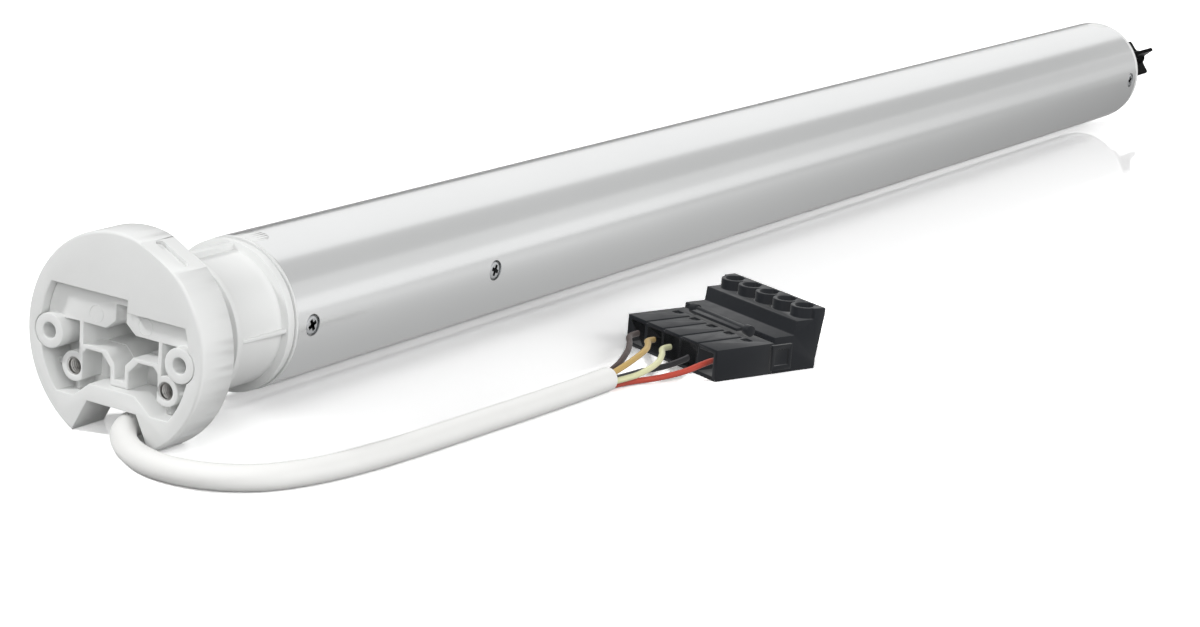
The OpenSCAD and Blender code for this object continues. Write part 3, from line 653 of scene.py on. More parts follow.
@dataclass(frozen=True)
class SolderResist:
    """Circuit board: green lacquer with copper tracks under it, which part it into cells."""

    name: str
    cell_mm: float = 4.0
    track_edge: tuple[float, float] = (0.04, 0.07)
    rough_patch_mm: float = 8.0

    def material(self) -> bpy.types.Material:
        """Builds the material.

        Returns:
            The material.
        """
        skin = Skin(self.name)
        tracks = add_node(skin.tree, "TexVoronoi", {"Vector": skin.where},
                          {"Scale": 1 / (self.cell_mm * MM)}, feature="DISTANCE_TO_EDGE")
        line = add_node(skin.tree, "MapRange", {"Value": tracks.outputs["Distance"]},
                        {"From Min": self.track_edge[0], "From Max": self.track_edge[1]})
        colour = add_node(skin.tree, "Mix", {0: line.outputs["Result"]},
                          {6: shade("3E8A4C"), 7: shade("14562B")}, data_type="RGBA")
        return skin.finished({
            "Base Color": colour.outputs[2],
            "Roughness": skin.rough_drift(0.18, 0.32, self.rough_patch_mm),
        }, {})


@dataclass
class Finishes:
    """Every finish that new pieces share, built once."""

    by_slot: dict[Slot, bpy.types.Material] = field(init=False)
    # The near black finish of the screws' cross recess, which is painted shade.
    recess: bpy.types.Material = field(init=False)

    def __post_init__(self) -> None:
        """Builds the materials of the pieces that show."""
        self.by_slot = {
            # Polyamide 6 from a fine eroded mould, light grey white and satin.
            Slot.WHITE: MouldedPlastic("moulded_white_polyamide", "E1E2E1", "E6E7E6",
                                       0.36, 0.46).material(),
            # Extruded aluminium tube, anodised: pale, even and satin.
            Slot.TUBE: AnodisedExtrusion("anodised_aluminium_extrusion").material(),
            # Stainless wire of the thread inserts, drawn and bright.
            Slot.INSERT: WorkedMetal("drawn_stainless_wire", "D2D1CF", "E0DFDD",
                                     0.3, 0.42).material(),
            # Zinc plated steel screws: blue white and half bright.
            Slot.SCREW: WorkedMetal("zinc_plated_steel", "BFC1C3", "D6D8DA",
                                    0.16, 0.28).material(),
            # Blackened zinc die casting: near black, with dull edges where it turns away.
            Slot.DARK: WorkedMetal("blackened_die_casting", "131314", "232324", 0.26, 0.42,
                                   mark_mm=0.5, mark_depth_mm=0.01, metallic=0.9,
                                   edge="6A6A6A").material(),
            # Polyamide 66 of terminal blocks: charcoal, smooth from the mould.
            Slot.BLACK: MouldedPlastic("moulded_black_polyamide", "0A0D12", "10141A", 0.3, 0.4,
                                       grain_mm=0.3, grain_depth_mm=0.004, gloss=0.3).material(),
            # PVC of the cable's sheath, and then of each wire in its own colour.
            Slot.SHEATH: ExtrudedSheath("extruded_white_pvc", "E9E9E7", "EDEDEB").material(),
        }
        for slot, tone, low, high in (
                (Slot.WIRE_BROWN, "brown", "2C1B14", "3A241B"),
                (Slot.WIRE_YELLOW, "yellow", "B39555", "C2A465"),
                (Slot.WIRE_WHITE, "cream", "D2D2A6", "DCDCB4"),
                (Slot.WIRE_BLACK, "black", "131316", "1B1B1F"),
                (Slot.WIRE_RED, "red", "A83A2C", "BC4A38")):
            self.by_slot[slot] = ExtrudedSheath(f"extruded_{tone}_pvc", low, high).material()
        # The screws' cross recess takes a near black finish: painted shade in the recess.
        self.recess = WorkedMetal("screw_recess_painted_shade", "1E1F20", "323334", 0.3, 0.5).material()


# Studio


def seen_rays(tree: bpy.types.NodeTree) -> Socket:
    """1 for the camera's rays, and for those that shine or glass sends on from there.

    Args:
        tree: the node tree.

    Returns:
        The socket that gives it.
    """
    rays = add_node(tree, "LightPath").outputs
    shiny = add_node(tree, "Math", {0: rays["Is Camera Ray"], 1: rays["Is Glossy Ray"]},
                     operation="MAXIMUM")
    seen = add_node(tree, "Math", {0: shiny.outputs[0], 1: rays["Is Transmission Ray"]},
                    operation="MAXIMUM")
    direct = add_node(tree, "Math", {0: rays["Diffuse Depth"]}, {1: 0.5}, operation="LESS_THAN")
    both = add_node(tree, "Math", {0: seen.outputs[0], 1: direct.outputs[0]},
                    operation="MULTIPLY")
    return both.outputs[0]


@dataclass
class Studio:
    """Camera, soft lamps, white world, reflection cards and the pale floor."""

    eye: Point = (-0.58978, -0.50904, 0.22825)
    azimuth_deg: float = -59.24
    elevation_deg: float = 15.06
    roll_deg: float = 4.76
    lens_mm: float = 85.288
    sensor_mm: float = 36.0
    sight: float = 50.0
    world_level: float = 0.2
    lamp_distance: float = 2.0
    card_radius: float = 1.1
    card_length: float = 7.0
    card_middle: float = 0.35
    card_fade: tuple[float, float] = (2.0, 3.1)
    flag_fade: tuple[float, float] = (0.32, 0.85)
    flag_lift_mm: float = 0.2
    near_end: float = -0.13
    floor_half: float = 9.0
    floor_middle: float = 0.3
    floor_drop_mm: float = 0.05
    floor_gain: float = 0.75

    def camera(self) -> None:
        """Sets the camera where the photograph was taken from."""
        azimuth = math.radians(self.azimuth_deg)
        elevation = math.radians(self.elevation_deg)
        roll = math.radians(self.roll_deg)
        ahead = Vector((-math.sin(azimuth) * math.cos(elevation),
                        math.cos(azimuth) * math.cos(elevation), -math.sin(elevation)))
        right = ahead.cross(Vector((0, 0, 1))).normalized()
        up = right.cross(ahead)
        turned_right = math.cos(roll) * right + math.sin(roll) * up
        turned_up = -math.sin(roll) * right + math.cos(roll) * up
        place = Matrix((turned_right, turned_up, -ahead)).transposed().to_4x4()
        place.translation = Vector(self.eye)
        data = bpy.data.cameras.new("photo_camera")
        data.lens = self.lens_mm
        data.sensor_width = self.sensor_mm
        data.clip_end = self.sight
        camera = new_object("photo_camera", data)
        camera.matrix_world = place
        bpy.context.scene.camera = camera
        LOG.info("camera set")

    def world(self) -> None:
        """A white studio: full white where it is seen, softer where it lights."""
        world = bpy.data.worlds.new("white_studio")
        bpy.context.scene.world = world
        world.use_nodes = True
        tree = world.node_tree
        tree.nodes.clear()
        soft, white = [
            add_node(tree, "Background", None, {"Color": shade("FFFFFF"), "Strength": level})
            for level in (self.world_level, 1.0)]
        both = add_node(tree, "MixShader",
                        {0: seen_rays(tree), 1: soft.outputs[0], 2: white.outputs[0]})
        add_node(tree, "OutputWorld", {"Surface": both.outputs[0]})

    def lamp(self, name: str, toward: Point, level: float, spread_deg: float) -> None:
        """Adds a far soft lamp, whose light is the same all over the floor.

        Args:
            name: the lamp's name.
            toward: direction from the motor to the lamp.
            level: how much of a white surface's level it gives, face on.
            spread_deg: the angle that it fills, which softens its shadows.
        """
        data = bpy.data.lights.new(name, "SUN")
        data.energy = level * math.pi
        data.angle = math.radians(spread_deg)
        lamp = new_object(name, data)
        direction = Vector(toward).normalized()
        lamp.location = direction * self.lamp_distance
        lamp.rotation_euler = direction.to_track_quat("Z", "Y").to_euler()
        lamp.visible_glossy = False

    def card(self, name: str, angle_deg: float, half_deg: float, grey: str,
             end_level: float = 1.0) -> None:
        """Hangs a long card beside the motor that only reflections show.

        Args:
            name: the card's name.
            angle_deg: its direction about the axis, from the cable side upwards.
            half_deg: half the angle that it covers.
            grey: its colour.
            end_level: how much of it is left towards the star end.
        """
        radius, angle = self.card_radius, math.radians(angle_deg)
        card = primitive(bpy.ops.mesh.primitive_plane_add, size=1)
        card.scale = (self.card_length, 2 * radius * math.tan(math.radians(half_deg)), 1)
        card.rotation_euler = (-math.pi / 2 - angle, 0, 0)
        card.location = (self.card_middle, -radius * math.cos(angle), radius * math.sin(angle))
        self.reflected_only(settle(card, name), grey, grey, end_level, self.card_fade)

    def flag(self, near: float, far: float, near_grey: str, grey: str,
             end_level: float) -> None:
        """Lays a card on the floor along the tube's front.

        The tube reflects it, in place of the connector's shadow, as in the photograph.

        Args:
            near: distance of its near edge from the axis, in millimetres.
            far: distance of its far edge.
            near_grey: its colour under the tube, darker there as painted shade.
            grey: its colour from there on.
            end_level: how much of it is left towards the star end.
        """
        card = primitive(bpy.ops.mesh.primitive_plane_add, size=1)
        card.scale = (self.card_length, (far - near) * MM, 1)
        card.location = (self.card_middle, -(far + near) / 2 * MM,
                         (FLOOR_MM + self.flag_lift_mm) * MM)
        self.reflected_only(settle(card, "card_flag"), grey, near_grey, end_level,
                            self.flag_fade)

    def reflected_only(self, card: bpy.types.Object, grey: str, near_grey: str,
                       end_level: float, fade_m: tuple[float, float]) -> None:
        """Makes a card glow on its front, and only where something reflects it.

        Args:
            card: the card.
            grey: its colour.
            near_grey: its colour under the tube, where a darker one is painted shade.
            end_level: how much of its glow is left where the fade ends.
            fade_m: places along X where the fade starts and ends, in metres.
        """
        material = bpy.data.materials.new(card.name + "_paper")
        material.use_nodes = True
        tree = material.node_tree
        tree.nodes.clear()
        back = add_node(tree, "NewGeometry").outputs["Backfacing"]
        place = add_node(tree, "SeparateXYZ", {0: add_node(tree, "TexCoord").outputs["Object"]})
        away = add_node(tree, "MapRange", {"Value": place.outputs["Y"]},
                        {"From Min": 0.0, "From Max": self.near_end})
        colour = add_node(tree, "Mix", {0: away.outputs["Result"]},
                          {6: shade(near_grey), 7: shade(grey)}, data_type="RGBA")
        level = add_node(tree, "MapRange", {"Value": place.outputs["X"]},
                         {"From Min": fade_m[0], "From Max": fade_m[1],
                          "To Min": 1.0, "To Max": end_level})
        strength = add_node(tree, "Math", {0: level.outputs["Result"], 1: seen_rays(tree)},
                            operation="MULTIPLY")
        glow = add_node(tree, "Emission",
                        {"Color": colour.outputs[2], "Strength": strength.outputs[0]})
        clear = add_node(tree, "BsdfTransparent")
        side = add_node(tree, "MixShader", {0: back, 1: glow.outputs[0], 2: clear.outputs[0]})
        add_node(tree, "OutputMaterial", {"Surface": side.outputs[0]})
        card.data.materials.append(material)
        card.visible_camera = False
        card.visible_diffuse = False
        card.visible_shadow = False
        card.visible_transmission = False

    def floor(self) -> None:
        """A pale smooth floor that keeps the soft shadow and a faint mirror image."""
        floor = settle(primitive(
            bpy.ops.mesh.primitive_plane_add, size=2 * self.floor_half,
            location=(self.floor_middle, 0, (FLOOR_MM - self.floor_drop_mm) * MM)), "studio_floor")
        # Acrylic sheet: near white and glossy, with slow drifts of its white.
        skin = Skin("studio_floor_acrylic")
        tree, surface = skin.tree, skin.shader.outputs[0]
        # Grey where it only throws light back at the motor, white where it is seen.
        white = skin.mottled("FDFDFD", "FFFFFF", 400.0)
        colour = add_node(tree, "Mix", {0: seen_rays(tree), 7: white}, {6: shade("B0B0B0")},
                          data_type="RGBA")
        floor.data.materials.append(skin.finished(
            {"Base Color": colour.outputs[2]}, {"Roughness": 0.06, "Specular IOR Level": 0.1}))
        # Where it is seen, it is brighter than the lamps make it.
        rays = add_node(tree, "LightPath").outputs
        clear = add_node(tree, "Math",
                         {0: rays["Is Camera Ray"], 1: rays["Is Transmission Ray"]},
                         operation="MAXIMUM")
        gain = add_node(tree, "Math", {0: clear.outputs[0]}, {1: self.floor_gain},
                        operation="MULTIPLY")
        more = add_node(tree, "MixShader", {0: gain.outputs[0], 2: surface})
        lit = add_node(tree, "AddShader", {0: surface, 1: more.outputs[0]})
        tree.links.new(lit.outputs[0], tree.nodes["Material Output"].inputs["Surface"])

    def build(self) -> None:
        """Sets up everything round the motor."""
        bpy.context.scene.view_settings.view_transform = "Standard"
        self.world()
        self.lamp("key_lamp", (-2.8, 4.4, 4.4), 0.62, 8)
        self.lamp("side_lamp", (0.1, -1.0, 0.45), 0.54, 50)
        self.lamp("front_lamp", (-1.0, -0.5, 0.6), 0.38, 40)
        self.lamp("top_lamp", (-0.3, -0.4, 1.0), 0.06, 70)
        self.card("card_above", 62, 20, "CFCFCF", 0.84)
        self.card("card_front", 30, 11, "E6E6E6", 0.72)
        self.card("card_low", 8.8, 10.2, "FFFFFF", 0.62)
        self.card("card_behind", 172, 8, "606060")
        self.flag(8, 700, "B0B0B0", "E6E6E6", 0.68)
        self.floor()
        LOG.info("studio set")


# Sub-assemblies


@dataclass
class Assembly:
    """Pieces that are built together, in finishes that all of them share."""

    finishes: Finishes

    def mount(self, piece: bpy.types.Object, body: str, node: str, slot: Slot) -> bpy.types.Object:
        """Gives a piece the finish of its slot and its body, and hides the CAD node that it stands
        for.

        Args:
            piece: the finished piece.
            body: the CAD body that it rides on.
            node: the CAD node that it replaces.
            slot: the record's material slot.

        Returns:
            The same piece.
        """
        piece.data.materials.clear()
        piece.data.materials.append(self.finishes.by_slot[slot])
        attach(piece, body)
        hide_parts(node)
        LOG.info("piece %s rides on %s", piece.name, body)
        return piece

    def soften(self, node: str, name: str, body: str, slot: Slot, width_mm: float,
               segments: int) -> bpy.types.Object:
        """Mounts a copy of a CAD node with its sharp edges rounded, as a mould leaves them.

        Args:
            node: the CAD node.
            name: the piece's name.
            body: the CAD body that it rides on.
            slot: the record's material slot.
            width_mm: width of the rounding.
            segments: steps across it.

        Returns:
            The new piece.
        """
        piece = copy_of(node, name)
        round_edges(piece, width_mm, segments)
        return self.mount(piece, body, node, slot)


# Cords


def on_floor(route: list[Point]) -> list[Vector]:
    """Turns points with heights over the floor, in millimetres, to the row frame."""
    return [Vector((x, y, FLOOR_MM + z)) * MM for x, y, z in route]


def smooth_route(points: list[Vector], steps: int = 10) -> list[Vector]:
    """Blends a smooth line through points.

    Args:
        points: the points that it passes.
        steps: points for each stretch between two of them.

    Returns:
        The line's points.
    """
    line = []
    for i in range(len(points) - 1):
        before, start = points[max(i - 1, 0)], points[i]
        end, after = points[i + 1], points[min(i + 2, len(points) - 1)]
        for k in range(steps):
            t = k / steps
            line.append(0.5 * (2 * start + (end - before) * t
                               + (2 * before - 5 * start + 4 * end - after) * t * t
                               + (3 * start - before - 3 * end + after) * t ** 3))
    return line + [points[-1]]


def cord_piece(name: str, line: list[Vector], diameter_mm: float) -> bpy.types.Object:
    """A round cord along a line, as a curve of one open spline.

    Args:
        name: the piece's name.
        line: the points of its centreline.
        diameter_mm: its diameter.

    Returns:
        The piece.
    """
    data = bpy.data.curves.new(name, "CURVE")
    data.dimensions = "3D"
    data.bevel_depth = diameter_mm / 2 * MM
    data.bevel_resolution = 8
    data.use_fill_caps = True
    spline = data.splines.new("POLY")
    spline.points.add(len(line) - 1)
    for point, place in zip(spline.points, line):
        point.co = (*place, 1)
    spline.use_smooth = True
    return new_object(name, data)


@dataclass
class Cabling(Assembly):
    """The sheathed cable and the five wires that leave its end."""

    cable_mm: float = 7.6
    wire_mm: float = 2.0
    pole_pitch: float = 9.0
    clamp_along: float = 15.0
    clamp_height: float = 5.3
    connector: tuple[float, float] = (192.4, -71.5)
    yaw_deg: float = -21.0
    route: list[Point] = field(default_factory=lambda: [
        (8, -3.4, 5.1), (2.5, -4.3, 4.7), (-3.6, -8, 4.2), (-10.2, -15.9, 3.9),
        (-14.6, -25.5, 3.8), (-15.4, -35.5, 3.8), (-12.6, -45.8, 3.8), (-6.4, -54.3, 3.8),
        (2.2, -60.1, 3.8), (17, -65, 3.8), (36, -68, 3.8), (60, -69.8, 3.8), (85, -71, 3.8),
        (110, -72.3, 3.8), (134, -73.2, 3.8), (150, -73.5, 3.8)])
    wire_routes: dict[str, tuple[int, list[Point]]] = field(default_factory=lambda: {
        "brown": (4, [(150, -72, 4.6), (160, -71, 5.9), (172, -67, 6.9), (184, -60.6, 6.1),
                      (193, -55.4, 5.5), (202.6, -55.8, 5.3)]),
        "yellow": (3, [(150, -74.4, 5.3), (161, -74.5, 7.1), (174, -72.4, 8.1), (185, -67, 6.9),
                       (192, -63, 5.7), (199.4, -64.2, 5.3)]),
        "white": (2, [(150, -75.2, 3.1), (161, -78, 3.9), (172, -78.2, 5.3), (181, -74.8, 5.7),
                      (189, -70.6, 5.3), (196.2, -72.6, 5.3)]),
        "black": (1, [(150, -72, 2.7), (160, -72.6, 2.1), (171, -73.6, 1.9), (181, -77, 2.5),
                      (188, -79.6, 3.9), (193, -81.2, 5.3)]),
        "red": (0, [(150, -73.8, 1.3), (160, -76, 1.2), (170, -81, 1.7), (178, -85.4, 3.1),
                    (185, -88, 4.7), (189.8, -89.6, 5.3)])})

    def clamp_point(self, pole: int) -> Point:
        """Where a wire meets its clamp in the plug.

        Args:
            pole: the wire's place in the row, from 0 to 4.

        Returns:
            The point, its height over the floor last, in millimetres.
        """
        side = (pole - 2) * self.pole_pitch
        turn = math.radians(self.yaw_deg)
        return (self.connector[0] + self.clamp_along * math.cos(turn) - side * math.sin(turn),
                self.connector[1] + self.clamp_along * math.sin(turn) + side * math.cos(turn),
                self.clamp_height)

    def build(self) -> None:
        line = smooth_route(on_floor(self.route))
        cable = cord_piece("power_cable_sheath", line, self.cable_mm)
        self.mount(cable, "root", "power_cable", Slot.SHEATH)
        for name, (pole, points) in self.wire_routes.items():
            line = smooth_route(on_floor(points + [self.clamp_point(pole)]))
            wire = cord_piece("wire_lead_" + name, line, self.wire_mm)
            self.mount(wire, "root", "wire_" + name, Slot("wire_" + name))
            wire.visible_glossy = False
        LOG.info("cable and wires laid")


# Head


@dataclass
class HeadSet(Assembly):
    """The moulded head: disc, socket body, inserts, button and cable plug."""

    edge_mm: float = 0.3
    thick: float = 14.2
    foot_z: float = -15.0
    plateau_x: float = 3.0
    pin_y: float = 9.1
    pin_z: float = 7.5
    pin_r: float = 2.6
    ring_high: float = 0.1
    ring_wide: float = 0.22
    insert_y: float = 17.0
    insert_z: float = -9.6
    insert_r: float = 2.55
    insert_x: tuple[float, float] = (3.4, 12.0)
    sleeve_t: float = 0.16
    bore_r: float = 2.1
    thread_pitch: float = 0.8
    thread_fill: float = 0.42
    thread_out: float = 0.02
    coil_steps: int = 36
    ring_steps: int = 48

    def ejector_marks(self) -> list[bpy.types.Object]:
        """The fine rings that the mould's ejector pins left on the plateau.

        Returns:
            The two rings.
        """
        top = self.plateau_x + self.ring_high
        profile = [(self.plateau_x - self.ring_high, self.pin_r - self.ring_wide / 2),
                   (top, self.pin_r), (top, self.pin_r - self.ring_wide)]
        return [lathe("pin_ring", profile, (0, side * self.pin_y, self.pin_z),
                      steps=self.ring_steps) for side in (-1, 1)]

    def coil(self, side: int) -> bpy.types.Object:
        """The coil of diamond wire that is one insert's thread.

        Args:
            side: 1 for the insert at +Y, -1 for the other.

        Returns:
            The coil.
        """
        start, end = self.insert_x
        middle = (self.bore_r + self.insert_r) / 2 + self.thread_out
        half = self.thread_pitch * self.thread_fill
        coil = section([(-half, middle), (0, self.bore_r), (half, middle), (0, self.insert_r)])
        screw = coil.modifiers.new("coil", "SCREW")
        screw.axis = "X"
        screw.angle = math.tau
        screw.screw_offset = self.thread_pitch * MM
        screw.iterations = int((end - start) / self.thread_pitch) - 1
        screw.steps = screw.render_steps = self.coil_steps
        screw.use_smooth_shade = False
        apply_all(coil)
        with Editing(coil):
            bpy.ops.mesh.select_all(action="DESELECT")
            bpy.ops.mesh.select_non_manifold()
            bpy.ops.mesh.edge_face_add()
            bpy.ops.mesh.select_all(action="SELECT")
            bpy.ops.mesh.normals_make_consistent(inside=False)
        place = (start + self.thread_pitch, side * self.insert_y, self.insert_z)
        coil.location = Vector(place) * MM
        return settle(coil, "insert_coil")

    def insert(self, side: int) -> bpy.types.Object:
        """One insert: its thread in its thin sleeve.

        Args:
            side: 1 for the insert at +Y, -1 for the other.

        Returns:
            The insert.
        """
        coil = self.coil(side)
        start, end = self.insert_x
        inner = self.insert_r - self.sleeve_t
        profile = [(start, self.insert_r), (end, self.insert_r), (end, inner),
                   (start + self.sleeve_t, inner)]
        centre = (0, side * self.insert_y, self.insert_z)
        sleeve = lathe("insert_sleeve", profile, centre, steps=self.ring_steps)
        return join([sleeve, coil])

    def build(self) -> None:
        """Builds the head's pieces."""
        shell = copy_of("head_cover", "head_shell")
        round_rims(shell, (0.0, self.thick), self.edge_mm)
        drop_needles(shell, self.foot_z)
        self.mount(shell, "root", "head_cover", Slot.WHITE)
        core = copy_of("head_body", "head_core")
        round_rims(core, (0.0, self.plateau_x), self.edge_mm)
        core = settle(join([core] + self.ejector_marks()), "head_core")
        self.mount(core, "root", "head_body", Slot.WHITE)
        inserts = settle(join([self.insert(-1), self.insert(1)]), "thread_inserts")
        self.mount(inserts, "root", "threaded_inserts", Slot.INSERT)
        self.soften("programming_button", "button_cap", "button", Slot.WHITE, 0.25, 3)
        self.soften("cable_plug", "cable_entry_plug", "root", Slot.WHITE, 0.4, 3)


# Crown and tube


@dataclass
class CrownSet(Assembly):
    """The ring that turns on the head's neck and carries the roller's near end."""

    start: float = 27.45
    end: float = 53.65
    bore: float = 18.06
    drum_r: float = 20.7
    lip_r: float = 22.6
    flange_r: float = 23.2
    lip_t: float = 2.6
    flange_t: float = 3.5
    step_x: tuple[float, float] = (1.5, 1.2)
    step_low: float = 0.5
    round_mm: float = 0.35
    round_mid_mm: float = 0.1
    rib_w: tuple[float, float] = (3.0, 1.2)
    rib_low: tuple[float, float] = (1.8, 0.3)
    rib_high: float = 1.8
    rib_sunk: float = 0.6
    rib_over: float = 0.5
    rib_round_mm: float = 0.25
    ring_steps: int = 180

    def rib(self, turn_deg: float, width: float, low: float) -> bpy.types.Object:
        """A rib along the drum, its height at the head's side given.

        Args:
            turn_deg: its place round the drum.
            width: its width.
            low: its height over the drum at the head's side.

        Returns:
            The rib.
        """
        start = self.start + self.lip_t - self.rib_over
        end = self.end - self.flange_t + self.rib_over
        rib = primitive(bpy.ops.mesh.primitive_cube_add, size=1)
        for vertex in rib.data.vertices:
            along = start if vertex.co.x < 0 else end
            top = self.drum_r + (low if vertex.co.x < 0 else self.rib_high)
            height = self.drum_r - self.rib_sunk if vertex.co.z < 0 else top
            vertex.co = Vector((along, math.copysign(width / 2, vertex.co.y), height)) * MM
        rib.rotation_euler = (math.radians(turn_deg), 0, 0)
        settle(rib, "crown_rib")
        round_edges(rib, self.rib_round_mm, 3)
        return rib

    def corner(self, x: float, radius: float, along: int, out: int) -> list[tuple[float, float]]:
        """Three points of a rounded corner, from the face across X to the one along it.

        Args:
            x: the corner's place along X.
            radius: its radius.
            along: 1 where the face along X goes on towards +X from it, else -1.
            out: 1 where the face across X goes outward from it, else -1.

        Returns:
            Points as place along X and radius.
        """
        full, mid = self.round_mm, self.round_mid_mm
        return [(x, radius + out * full), (x + along * mid, radius + out * mid),
                (x + along * full, radius)]

    def ring(self) -> bpy.types.Object:
        """The drum with its lip and its flange.

        Returns:
            The ring.
        """
        lip, flange = self.start + self.lip_t, self.end - self.flange_t
        low = self.flange_r - self.step_low
        profile = [(self.start, self.bore), *self.corner(self.start, self.lip_r, 1, -1),
                   *reversed(self.corner(lip, self.lip_r, -1, -1)),
                   *self.corner(lip, self.drum_r, 1, 1),
                   *reversed(self.corner(flange, self.drum_r, -1, 1)),
                   *self.corner(flange, self.flange_r, 1, -1),
                   (self.end - self.step_x[0], self.flange_r), (self.end - self.step_x[1], low),
                   (self.end, low), (self.end, self.bore)]
        return lathe("crown_ring", profile, steps=self.ring_steps)

    def build(self) -> None:
        """Builds the crown, and smooths the plug that enters the tube."""
        ribs = [self.rib(90.0 * k, self.rib_w[k % 2], self.rib_low[k % 2]) for k in range(4)]
        crown = settle(join([self.ring()] + ribs), "idler_ring")
        self.mount(crown, "crown", "idler_crown", Slot.WHITE)
        plug = copy_of("tube_plug", "tube_entry_plug")
        smooth(plug)
        self.mount(plug, "root", "tube_plug", Slot.WHITE)


def round_normals(tube: bpy.types.Object) -> None:
    """Gives a tube along X the normals of true cylinders, so that its shine hides its cuts.

    Args:
        tube: the tube.
    """
    smooth(tube)
    mesh = tube.data
    normals = [None] * len(mesh.loops)
    for polygon in mesh.polygons:
        for loop in polygon.loop_indices:
            place = mesh.vertices[mesh.loops[loop].vertex_index].co
            out = Vector((0, place.y, place.z)).normalized()
            facing = polygon.normal.dot(out)
            curved = abs(facing) > ON_CYLINDER
            normals[loop] = out * math.copysign(1, facing) if curved else polygon.normal
    mesh.normals_split_custom_set(normals)


@dataclass
class TubeSet(Assembly):
    """The aluminium tube with its notches and screws, and the cap in its far end."""

    radius: float = 23.5
    wall: float = 1.2
    edge_mm: float = 0.15
    start: float = 54.7
    end: float = 714.7
    rings_x: tuple[float, ...] = (66.5, 150.0, 166.0, 702.9)
    tube_steps: int = 238
    notch_w: float = 8.0
    notch_l: float = 9.0
    notch_deg: float = 4.0
    notch_high: float = 12.0
    notch_over: float = 2.0
    hole_r: float = 3.4
    hole_bar: float = 60.0
    stations: tuple[float, ...] = (61.5, 158.0, 707.9)
    screw_seat: float = 22.12
    screw_turns_deg: tuple[float, ...] = (25.0, 65.0, 105.0)
    head_r: float = 3.0
    head_t: float = 1.2
    dome_mm: float = 0.9
    dome_steps: int = 6
    shank_r: float = 1.5
    shank_l: float = 3.3
    shank_in: float = 0.1
    cross_r: float = 2.35
    cross_box: Point = (5.8, 1.5, 2.2)
    cross_taper: tuple[float, float] = (0.36, 0.7)
    cross_lift: float = 0.12
    # Depth below the head's top from which the recess is painted near black as shade.
    painted_shade_from: float = 0.3

    def notch_tool(self, edge: float, inward: int) -> bpy.types.Object:
        """The U shape that is cut in one end of the tube.

        Args:
            edge: that end's place along X.
            inward: 1 where the tube goes on towards +X from there, else -1.

        Returns:
            The tool.
        """
        half = self.notch_w / 2
        reach = self.notch_l - half
        tool = primitive(bpy.ops.mesh.primitive_cylinder_add, vertices=48, radius=half * MM,
                         depth=self.notch_high * MM)
        # Its points towards the tube's end are drawn out straight, past that end.
        for vertex in tool.data.vertices:
            if vertex.co.x * inward < -0.1 * self.notch_w * MM:
                on_line = abs(vertex.co.y) <= 1e-6
                vertex.co.y = 0 if on_line else math.copysign(half * MM, vertex.co.y)
                vertex.co.x = -inward * (reach + self.notch_over) * MM
        tool.location = Vector((edge + inward * reach, 0, self.radius)) * MM
        settle(tool, "notch_tool")
        tool.rotation_euler = (math.radians(self.notch_deg), 0, 0)
        return settle(tool, "notch_tool")

    def hole_tool(self, x: float) -> bpy.types.Object:
        """A bar across the tube that cuts both holes of one station.

        Args:
            x: the station's place along X.

        Returns:
            The tool.
        """
        tool = primitive(bpy.ops.mesh.primitive_cylinder_add, vertices=48,
                         radius=self.hole_r * MM, depth=self.hole_bar * MM,
                         location=(x * MM, 0, 0), rotation=(math.pi / 2, 0, 0))
        return settle(tool, "hole_tool")

    def tube(self) -> bpy.types.Object:
        """Draws the tube and cuts its notches and holes.

        Returns:
            The tube.
        """
        edge, outer, inner = self.edge_mm, self.radius, self.radius - self.wall
        profile = [(self.start, outer - edge), (self.start + edge, outer),
                   *((x, outer) for x in self.rings_x),
                   (self.end - edge, outer), (self.end, outer - edge),
                   (self.end, inner + edge), (self.end - edge, inner),
                   (self.start + edge, inner), (self.start, inner + edge)]
        tube = lathe("motor_tube_shell", profile, steps=self.tube_steps)
        notches = [self.notch_tool(self.start, 1), self.notch_tool(self.end, -1)]
        combine(tube, "DIFFERENCE", notches + [self.hole_tool(x) for x in self.stations])
        round_normals(tube)
        return tube

    def cross_tool(self) -> bpy.types.Object:
        """The tapered cross of a driver's tip.

        Returns:
            The tool.
        """
        bars = []
        for turn in (0, 90):
            bar = primitive(bpy.ops.mesh.primitive_cube_add, size=1,
                            scale=[side * MM for side in self.cross_box])
            bpy.ops.object.transform_apply(location=False, rotation=False, scale=True)
            for vertex in bar.data.vertices:
                if vertex.co.z < 0:
                    vertex.co.x *= self.cross_taper[0]
                    vertex.co.y *= self.cross_taper[1]
            bar.rotation_euler = (0, 0, math.radians(turn))
            bars.append(settle(bar, "cross_bar"))
        combine(bars[0], "UNION", bars[1:])
        return bars[0]

    def screw(self) -> bpy.types.Object:
        """One screw along Z, its head's seat at zero: domed head with a cross recess.

        Returns:
            The screw.
        """
        head = settle(primitive(bpy.ops.mesh.primitive_cylinder_add, vertices=56,
                                radius=self.head_r * MM, depth=self.head_t * MM,
                                location=(0, 0, self.head_t / 2 * MM)), "screw_head")
        with Editing(head, "FACE", lambda face: face.normal.z > 0.9):
            bpy.ops.mesh.bevel(offset=self.dome_mm * MM, segments=self.dome_steps)
        tool = self.cross_tool()
        tool.location = (0, 0, (self.head_t + self.cross_lift) * MM)
        combine(head, "DIFFERENCE", [settle(tool, "cross_tool")])
        middle = self.shank_in - self.shank_l / 2
        shank = settle(primitive(bpy.ops.mesh.primitive_cylinder_add, vertices=32,
                                 radius=self.shank_r * MM, depth=self.shank_l * MM,
                                 location=(0, 0, middle * MM)), "screw_shank")
        screw = join([head, shank])
        smooth(screw)
        return screw

